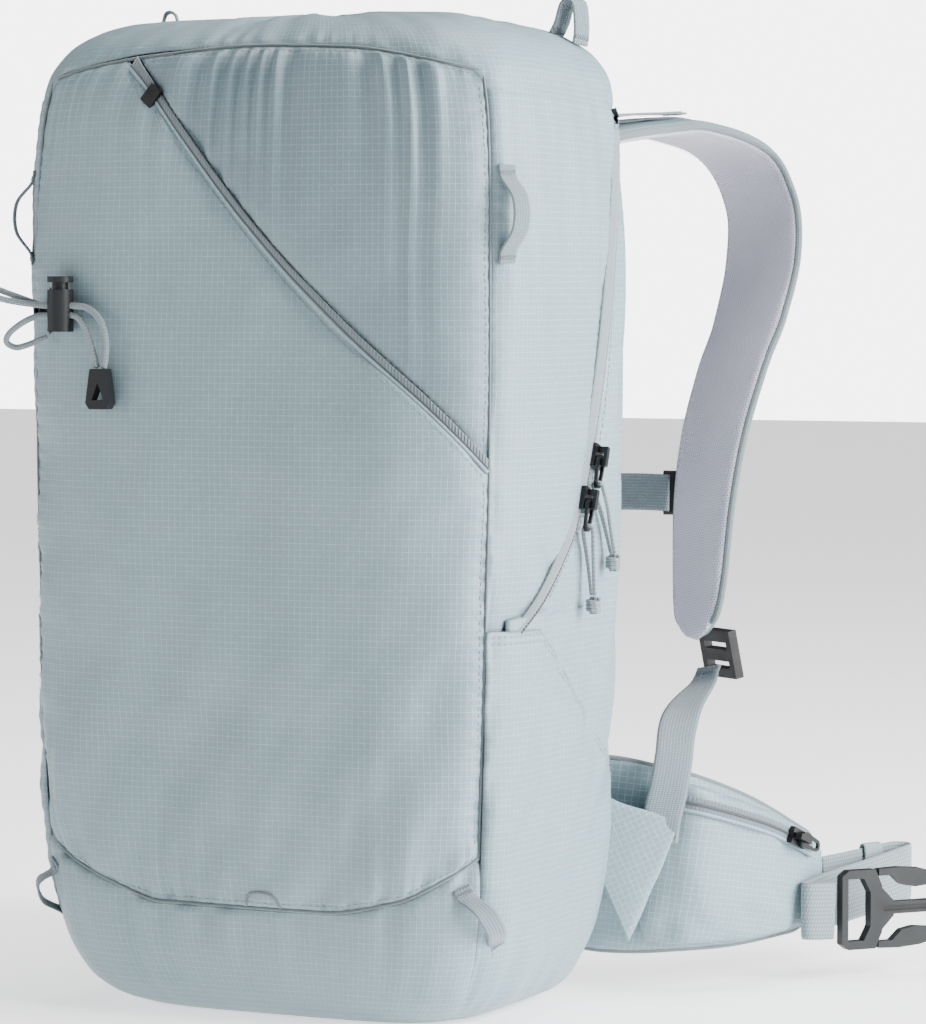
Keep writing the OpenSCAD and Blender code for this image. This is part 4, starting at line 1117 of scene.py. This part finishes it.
def shoulder_pad(side):
    """A shoulder strap's pad with its binding, stitching and the webbing along it."""
    hand = "right" if side > 0 else "left"
    name = "shoulder_pad_" + hand
    band = Band(PAD_ROUTE if side > 0 else mirrored_rows(PAD_ROUTE), 3.0)
    if side < 0:
        band.side, band.up = -band.side, -band.up
    taper = band.ends(20.0, ease_in=False)
    inner_sign = np.sign(np.dot(band.up[len(band.up)*2//3], [0, -1, 0]))
    folds = lambda x, s, face: 0.35*rnd(x/16.0, s/26.0, 80.0 + side)
    pad = pad_loft(name, band, taper, around=44, belly=0.5, edge=0.3, folds=folds)
    first, second = (mesh_cloth, cloth_deep) if inner_sign > 0 else (cloth_deep, mesh_cloth)
    two_faced(pad, band, first, second)
    pad.name = "shoulder_padding_" + hand
    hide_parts(name)
    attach(pad, "pack")
    edge = band.wide*taper
    right_side = band.at + band.side*edge[:, None]
    left_side = band.at - band.side*edge[:, None]
    loop = np.vstack([right_side[:-3], left_side[:-3][::-1]])
    rim = tube("b", resample(curve_points(resample(loop, 9.0), 4), 2.5), 2.1, 8)
    sewn("pad_binding_" + hand, [rim], "pack", binding)
    rows_of_thread = []
    for sign in (-1, 1):
        share = (edge - 3.6)/np.maximum(band.wide, 1)
        p = band.at + band.side*(sign*share*band.wide)[:, None]
        p = p + band.up*(inner_sign*band.thick*0.86)[:, None]
        rows_of_thread.append(stitches(p[2:-6], band.up[2:-6]*inner_sign))
    sewn("pad_stitching_" + hand, rows_of_thread, "pack", thread)
    web = [tuple(band.at[i] - band.up[i]*inner_sign*(band.thick[i] + 0.9)) + tuple(band.side[i])
           + (STRAP_W, WEB_T) for i in range(len(band.at)//6, len(band.at) - 4, 6)]
    sewn("pad_webbing_" + hand, [ribbon("w", web, 2.5)], "pack", webbing)


def mirrored_rows(rows):
    """A route's mirror image on the left."""
    return [(-r[0], r[1], r[2], -r[3], r[4], r[5], *r[6:]) for r in rows]


def ribbons(name, rows, body, mat, nodes, sides=2):
    """Webbing on the right and on the left, with bar tacks where it is sewn down."""
    parts = []
    for r in (rows, mirrored_rows(rows))[:sides]:
        parts.append(ribbon("w", r, 1.8))
        band = Band(r, 1.0)
        parts += [bar_tack(band, at) for at in (3, len(band.at) - 5)]
    return sewn(name, parts, body, mat, nodes)


def bar_tack(band, at, length=1.9):
    """A dense row of thread across webbing."""
    wide = band.wide[at]*0.86
    p = np.array([band.at[at] + band.side[at]*x for x in np.linspace(-wide, wide, 15)])
    wob = np.array([(-1)**k for k in range(15)])[:, None]
    p = p + band.along[at]*wob*length/2
    body = [tube("t", curve_points(p + band.up[at]*(sign*(band.thick[at] + 0.1)), 2), 0.34, 5)
            for sign in (-1, 1)]
    return join(body, "t")


def loop_rows(stations, width=LOOP_W):
    """Webbing rows from (height, angle, lift) stations on the skin."""
    rows = []
    for z, t, lift in stations:
        p = skin(z, t, lift)
        side = unit(skin(z, t + 2) - skin(z, t - 2))
        rows.append((*p, *side, width, WEB_T))
    return rows


def build_loops():
    """The ski loops, the helmet loops and the haul loop."""
    upper = loop_rows([(376, 64, 1.8), (382, 64, 2.6), (393, 64.5, 9), (407, 64.5, 9), (417, 64, 2.6),
                       (423, 64, 1.8)])
    ribbons("ski_loops_upper", upper, "lid", webbing, ("upper_ski_loops",))
    lower = loop_rows([(74, 57, 1.8), (69, 58, 2.6), (62, 60, 9), (52, 63, 9), (45, 66, 2.6), (40, 67, 1.8)])
    ribbons("ski_loops_lower", lower, "pack", webbing, ("lower_ski_loops",))
    across = (0.44, 0.9, 0, LOOP_W, WEB_T)
    helmet = [(108, 50, 491.5, *across), (111, 51, 498, *across), (114, 52, 508, *across),
              (120, 52, 508, *across), (122, 51, 495, *across), (121.5, 50, 486.5, *across)]
    ribbons("helmet_loop_webbing", helmet, "lid", webbing, ("helmet_loops",))
    haul = upright([(-27, 96.5, 430, 18, 1.6), (-19, 107, 434, 18, 3), (0, 113, 437, 18, 3),
                    (19, 107, 434, 18, 3), (27, 96.5, 430, 18, 1.6)])
    ribbons("haul_handle", haul, "pack", webbing, ("haul_loop",), sides=1)


def build_harness():
    """The shoulder pads, their webbing, the back and lumbar pads."""
    shoulder_pad(1)
    shoulder_pad(-1)
    lifters = [(*row, 0, 15, WEB_T) for row in
               ((82, 97.5, 442, 1, -0.3), (86, 130, 451, 0.95, -0.4), (90, 170, 456, 0.92, -0.4),
                (96, 205, 458, 0.9, -0.43), (101, 222, 458.5, 0.9, -0.43))]
    ribbons("lifter_webbing", lifters, "pack", webbing, ("load_lifters",))
    straps = [(*row, STRAP_W, WEB_T) for row in
              ((148.5, 90, 80, 0.86, 0.42, -0.2), (151, 88, 92, 0.86, 0.42, -0.2),
               (152.5, 94, 108, 0.86, 0.42, -0.25), (150, 106, 122, 0.86, 0.4, -0.3),
               (144, 124, 134, 0.9, 0.2, -0.25), (139, 146, 144, 0.88, -0.2, -0.1),
               (138, 171.5, 154.5, 0.83, -0.56, 0), (139, 179, 162.5, 0.83, -0.56, 0))]
    ribbons("strap_webbing", straps, "pack", webbing, ("strap_webbings",))
    tongue = upright([(120, 70, 70, 92, 3), (132, 76.6, 76, 66, 3), (140, 81.4, 80, 46, 3),
                      (148, 86.5, 84.5, 27, 3), (155, 91.5, 88.5, 9, 3)])
    parts = [ribbon("a", r, 2.0, across=16) for r in (tongue, mirrored_rows(tongue))]
    sewn("strap_tongues", parts, "pack", cloth, ("strap_anchors",))
    pads = [skin_pad("p", t0, t0 + 30, 118, 412, 9.0) for t0 in (194, 136)]
    sewn("back_padding", pads, "pack", mesh_cloth, ("back_pads",))
    lumbar = sewn("lumbar_padding", [skin_pad("p", 138, 222, 48, 112, 12.0)], "pack", mesh_cloth,
                  ("lumbar_pad",))
    for node in ("ladder_lock_right", "ladder_lock_left"):
        dress(node, black_plastic, 0.7)
    dress("sternum_buckle", grey_plastic, 0.8)
    build_sternum()


def skin_pad(name, t0, t1, z0, z1, thick, edge=9.0):
    """A foam pad sewn on the skin, crowned in the middle and thin at its edges."""
    cols, rows = 40, 90 if z1 - z0 > 100 else 34
    a0, a1 = arc(t0), arc(t1)
    j = np.linspace(0, 1, cols)[None, :]
    i = np.linspace(0, 1, rows)[:, None]
    a = np.broadcast_to(a0 + (a1 - a0)*j, (rows, cols))
    z = np.broadcast_to(z0 + (z1 - z0)*i, (rows, cols))
    mid_a, mid_z = (a0 + a1)/2, (z0 + z1)/2
    ua, uz = (a - mid_a)/((a1 - a0)/2), (z - mid_z)/((z1 - z0)/2)
    shrink = 1 - 0.07*np.abs(ua)**8*np.abs(uz)**8
    a, z = mid_a + (a - mid_a)*shrink, mid_z + (z - mid_z)*(1 - (1 - shrink)*0.5)
    d = np.minimum(np.minimum(a - a0, a1 - a), np.minimum(z - z0, z1 - z))
    rise = thick*(0.28 + 0.72*(1 - np.exp(-np.maximum(d, 0)/edge)))
    rise = rise - 1.2*np.exp(-((d - 5.5)/1.4)**2) + 0.25*rnd(a/12.0, z/16.0, 90.0)
    t = turn(a)
    outer = skin(z, t, 0.5 + rise)
    inner = skin(z, t, 0.5)
    verts = np.vstack([outer.reshape(-1, 3), inner.reshape(-1, 3)])
    uvs = np.vstack([np.stack([a, z], -1).reshape(-1, 2)]*2)
    n = rows*cols
    faces = grid_faces(rows, cols) + [f[::-1] for f in grid_faces(rows, cols, start=n)]
    rim = ([r*cols for r in range(rows)][::-1] + list(range(cols)) + [r*cols + cols - 1 for r in range(rows)]
           + [(rows - 1)*cols + c for c in range(cols)][::-1])
    rim = [v for k, v in enumerate(rim) if k == 0 or v != rim[k - 1]]
    for k, v in enumerate(rim):
        w = rim[(k + 1) % len(rim)]
        if v != w:
            faces.append((v, v + n, w + n, w))
    return face_out(new_object(name, verts, faces, uvs))


def build_sternum():
    """The strap across the chest, with a clip on each shoulder pad."""
    y, z, end = 214.7, 253.0, 101.2
    straps, clips = [], []
    for side in (-1, 1):
        run = ((26, 0, 0), (50, 0.4, -0.6), (78, 0.3, 0.3), (end - 1, 0, 0))
        rows = upright([(side*x, y + dy, z + dz, STRAP_W, WEB_T) for x, dy, dz in run])
        straps.append(ribbon("w", rows, 2.0))
        rows = upright([(side*(end + dx), y + 2.6, z, 24, 4) for dx in (-5, 4)])
        clips.append(ribbon("w", rows, 1.0, edge=0.6))
    sewn("sternum_webbing", straps, "sternum", webbing, ())
    sewn("sternum_clips", clips, "sternum", grey_plastic, ("sternum_strap",))


# ---------------------------------------------------------------- hip belt

def fin_piece(side):
    """A hip fin with its binding."""
    name = "right" if side > 0 else "left"
    rows = FIN_ROUTE if side > 0 else mirrored_rows(FIN_ROUTE)
    band = Band(rows, 3.0)
    taper = band.ends(10.0, ease_in=False)
    outward = np.sign(np.dot(band.up[len(band.up)//2], [side, -0.7, 0]))
    folds = lambda x, s, face: 0.5*rnd(x/14.0, s/18.0, 95.0 + side)
    fin = pad_loft("hip_fin_" + name, band, taper, around=48, belly=0.5, edge=0.35, folds=folds)
    first, second = (cloth, mesh_cloth) if outward > 0 else (mesh_cloth, cloth)
    two_faced(fin, band, first, second)
    fin.name = "hip_wing_" + name
    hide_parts("hip_fin_" + name)
    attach(fin, "hip_" + name)
    edge = band.wide*taper
    upper_edge = band.at + band.side*edge[:, None]
    lower_edge = band.at - band.side*edge[:, None]
    loop = np.vstack([upper_edge[:-2], lower_edge[:-2][::-1]])
    rim = tube("b", resample(curve_points(resample(loop, 8.0), 4), 2.5), 1.9, 8)
    sewn("hip_binding_" + name, [rim], "hip_" + name, binding)


def build_hip():
    """Both fins with their webbing, the pocket, the buckle and the webbing keeper."""
    for side in (1, -1):
        fin_piece(side)
        name = "right" if side > 0 else "left"
        rows = upright([(x*side, y, z, BELT_W, WEB_T) for x, y, z in BELT_ROUTE])
        sewn("belt_webbing_" + name, [ribbon("w", rows, 1.6, across=14)], "hip_" + name, belt_web,
             ("hip_webbing_" + name,))
    pocket = Band(POCKET_ROUTE, 2.5)
    taper = pocket.ends(9.0)
    out = np.sign(np.dot(pocket.up[len(pocket.up)//2], [1, -0.7, 0]))

    def folds(x, s, face):
        outer = (face*out > 0)*1.0
        droop = 1.1*rnd(x/13.0 + s/40.0, s/15.0, 97.0)
        return outer*out*(droop + 0.9*np.exp(-((x + 22)/9.0)**2)*np.sin(s/6.0))
    body = pad_loft("hip_pocket_cloth", pocket, taper, around=64, belly=0.6, edge=0.4, folds=folds)
    sewn("hip_pocket_cloth", [body], "hip_right", cloth, ("hip_pocket",))
    build_hip_zip()
    for node in ("buckle_frame", "buckle_arm_top", "buckle_arm_bottom", "buckle_socket"):
        dress(node, grey_plastic, 0.7)
    for node in ("hip_slider", "hip_pull"):
        dress(node, slider_metal, 0.35)
    keeper = np.array([206.5, 244.5, 47.5])
    around_belt, past_edge = 2.2, 1.7
    ring = []
    turn_z = math.radians(68)
    ex = np.array([math.cos(turn_z), math.sin(turn_z), 0])
    ey = np.array([-math.sin(turn_z), math.cos(turn_z), 0])
    for w in np.linspace(0, 2*math.pi, 29):
        c, s = math.cos(w), math.sin(w)
        dz = np.sign(c)*abs(c)**0.35*(BELT_W/2 + past_edge)
        dy = np.sign(s)*abs(s)**0.6*around_belt
        p = keeper + ey*dy + np.array([0, 0, dz])
        ring.append((*p, *ex, 14, 1.1))
    keeper_cloth = woven("keeper_elastic", (0.22, 0.28, 0.305), rib=0.0012, cross=0.0014, contrast=0.2)
    sewn("belt_keeper", [ribbon("w", ring, 1.2, across=12)], "hip_right", keeper_cloth, ("webbing_keeper",))


def pocket_face(i, lift):
    """The hip pocket's outer face at station i, four fifths of the way up."""
    rows = np.array(POCKET_ROUTE)
    p = rows[:, :3]
    along = unit(p[i + 1] - p[i - 1])
    out = unit(np.array([along[1], -along[0], 0]))
    return p[i] + out*(rows[i, 7]/2 + lift) + np.array([0, 0, 0.8*rows[i, 6]/2])


def build_hip_zip():
    """The zip along the top of the hip pocket, with the lip of cloth that covers it."""
    stations = (1, 2, 3, 4)
    rows = upright([(*pocket_face(i, 1.7), 7, 1) for i in stations])
    tape = ribbon("w", rows, 1.8, across=8)
    sewn("hip_zip_band", [tape], "hip_right", coil_light, ("hip_zip_tape",))
    mid = curve_points([pocket_face(i, 2.4) for i in stations], 8)
    sewn("hip_zip_coil", [tube("f", resample(mid, 2.0), 0.7, 6)], "hip_right", coil)
    lip = curve_points([pocket_face(i, 1.4) + np.array([0, 0, -4.0]) for i in stations], 8)
    sewn("hip_zip_lip", [tube("f", resample(lip, 2.0), 1.2, 8)], "hip_right", cloth)


# ---------------------------------------------------------------- axe holder, sliders and cords

BUNGEE_UPPER = [
    (-113.5, -87.5, 356), (-116, -91, 357.5), (-121, -93, 359.5), (-127, -94, 361.5), (-133, -95, 363.5),
    (-137, -97, 363), (-134, -99, 360.5), (-127, -98.5, 358.5), (-119, -96.5, 357), (-111, -94, 356),
    (-104.5, -93, 355.4), (-97.5, -93, 355.4), (-90, -93, 355.4), (-82, -93.5, 354.5), (-75, -94.5, 350),
    (-71, -95, 343), (-70, -95, 335), (-71, -94.5, 328), (-72, -94, 325)]
BUNGEE_LOWER = [
    (-110, -85.5, 339.5), (-114, -89, 337.5), (-119, -91, 335.5), (-124, -92.5, 334.5), (-128, -94.5, 337),
    (-126, -96, 341), (-121, -96, 345), (-115, -95, 348.5), (-109.5, -93.6, 350.4), (-104, -93, 350.6),
    (-97.5, -93, 350.6), (-91, -93, 350.8), (-86, -94, 349), (-82, -95, 344), (-79, -95, 337),
    (-77, -94.5, 330), (-76, -94, 325)]
UPPER_CORD = [
    (145.4, 40.6, 231.3), (145.6, 36, 242), (146, 31, 254), (146.4, 25.5, 262.5), (145.8, 23.6, 266.4),
    (143.7, 23.2, 267.3), (141.4, 23.6, 266.4), (140.9, 26.3, 261.5), (141.4, 32, 253), (142, 37.5, 242),
    (142.4, 43, 231.3)]
LOWER_CORD = [
    (145.4, 16.4, 211.5), (145.6, 15, 222), (146, 13.4, 233), (146.4, 12.2, 241.5), (145.8, 12.1, 245.4),
    (143.7, 11.7, 246.3), (141.4, 12.1, 245.4), (140.9, 13, 240.5), (141.4, 15.4, 232), (142, 17.4, 222),
    (142.4, 19.2, 211.5)]


def free_cord(name, route, diameter, body, mat, node):
    """A cord that hangs free, told to the frame as one."""
    path = resample(curve_points(route, 6), 0.9)
    obj = sewn(name, [tube(name, path, diameter/2, 12)], body, mat, (node,))


def knot(name, at, body, node):
    """The wrapped end of a pull: turns of cord round its two strands, with short tails."""
    x, y, z = at
    turns, steps = 3.3, 90
    w = np.linspace(0, 2*math.pi*turns, steps)
    rise = np.linspace(3.1, -3.1, steps)
    wrap = np.stack([x + 2.75*np.cos(w), y + 2.75*np.sin(w), z + rise], 1)
    parts = [tube("k", wrap, 1.2, 10)]
    for dx in (-0.9, 0.9):
        strand = curve_points([(x + dx, y, z + 4.4), (x + dx*0.8, y, z), (x + dx*1.4, y + 0.5, z - 4.2)], 5)
        parts.append(tube("k", strand, 1.05, 10))
    return sewn(name, parts, body, cord_grey, (node,))


def build_fittings():
    """The moulded and metal parts, the axe holder's elastics and the zip pulls."""
    for node, mat, edge in (("axe_hook", black_plastic, 0.5), ("cord_lock", grey_plastic, 0.6),
                            ("cord_lock_button", grey_plastic, 0.6), ("cord_end", grey_plastic, 0.7),
                            ("pocket_slider", slider_metal, 0.6), ("upper_slider", slider_metal, 0.6),
                            ("lower_slider", slider_metal, 0.6), ("upper_pull", slider_metal, 0.35),
                            ("lower_pull", slider_metal, 0.35)):
        dress(node, mat, edge)
    free_cord("axe_elastic_upper", BUNGEE_UPPER, 3.2, "lid", elastic, "bungee_upper")
    free_cord("axe_elastic_lower", BUNGEE_LOWER, 3.2, "lid", elastic, "bungee_lower")
    upper = knot("pull_knot_upper", (144, 41.8, 226.2), "upper_pull", "upper_knot")
    lower = knot("pull_knot_lower", (144, 17.8, 206.2), "lower_pull", "lower_knot")
    free_cord("pull_cord_upper", UPPER_CORD, 2.2, "upper_pull", cord_grey, "upper_pull_cord")
    free_cord("pull_cord_lower", LOWER_CORD, 2.2, "lower_pull", cord_grey, "lower_pull_cord")


# ---------------------------------------------------------------- stage

AZIMUTH, ELEVATION, DISTANCE, LENS = math.radians(26), math.radians(3), 2.2, 152.0


def build_camera():
    """The view from the front and the wearer's right."""
    right = Vector((math.cos(AZIMUTH), math.sin(AZIMUTH), 0))
    target = Vector((0, 0, 0.2504)) + right*0.0722
    way = Vector((math.sin(AZIMUTH)*math.cos(ELEVATION), -math.cos(AZIMUTH)*math.cos(ELEVATION),
                  math.sin(ELEVATION)))
    data = bpy.data.cameras.new("camera")
    data.lens = LENS
    data.sensor_width = 36
    data.sensor_fit = "AUTO"
    camera = bpy.data.objects.new("camera", data)
    camera.location = target + way*DISTANCE
    camera.rotation_euler = (-way).to_track_quat("-Z", "Y").to_euler()
    bpy.context.scene.collection.objects.link(camera)
    bpy.context.scene.camera = camera


def area_light(name, at, aim, size, power, colour=(1, 1, 1)):
    data = bpy.data.lights.new(name, "AREA")
    data.shape = "RECTANGLE"
    data.size, data.size_y = size
    data.energy = power
    data.color = colour
    light = bpy.data.objects.new(name, data)
    light.location = at
    light.rotation_euler = (Vector(aim) - Vector(at)).to_track_quat("-Z", "Y").to_euler()
    bpy.context.scene.collection.objects.link(light)


def build_stage():
    """The pale floor, the studio world and the three lights."""
    mat, n = material("pale_floor", (0.86, 0.86, 0.86), 0.7, Emission_Color=(1, 1, 1, 1),
                      Emission_Strength=1.2)
    n.link(n.bump(n.noise(n.place(), 30.0), 0.02, 0.001), n.normal)
    floor = new_object("floor", [(-9000, -9000, -0.3), (9000, -9000, -0.3), (9000, 9000, -0.3),
                                 (-9000, 9000, -0.3)], [(0, 1, 2, 3)], smooth=False)
    floor.data.materials.append(mat)
    world = bpy.data.worlds.new("studio")
    world.use_nodes = True
    tree = world.node_tree
    soft = tree.nodes["Background"]
    soft.inputs["Color"].default_value = (0.96, 0.98, 1, 1)
    soft.inputs["Strength"].default_value = 0.2
    seen = tree.nodes.new("ShaderNodeBackground")
    seen.inputs["Strength"].default_value = 7.0
    switch = tree.nodes.new("ShaderNodeMixShader")
    tree.links.new(tree.nodes.new("ShaderNodeLightPath").outputs["Is Camera Ray"], switch.inputs[0])
    tree.links.new(soft.outputs[0], switch.inputs[1])
    tree.links.new(seen.outputs[0], switch.inputs[2])
    tree.links.new(switch.outputs[0], tree.nodes["World Output"].inputs["Surface"])
    bpy.context.scene.world = world
    area_light("right_box", (2.1, 0.15, 0.8), (0, 0, 0.25), (1.5, 1.8), 205)
    area_light("left_box", (-1.9, -1.2, 1.0), (0, 0, 0.25), (1.2, 1.5), 20)
    area_light("overhead", (0.2, 0.3, 2.4), (0, 0, 0.2), (1.5, 1.5), 62)


build_camera()
build_fittings()
build_panels()
build_seams()
build_zips()
build_inside()
build_loops()
build_harness()
build_hip()
build_stage()
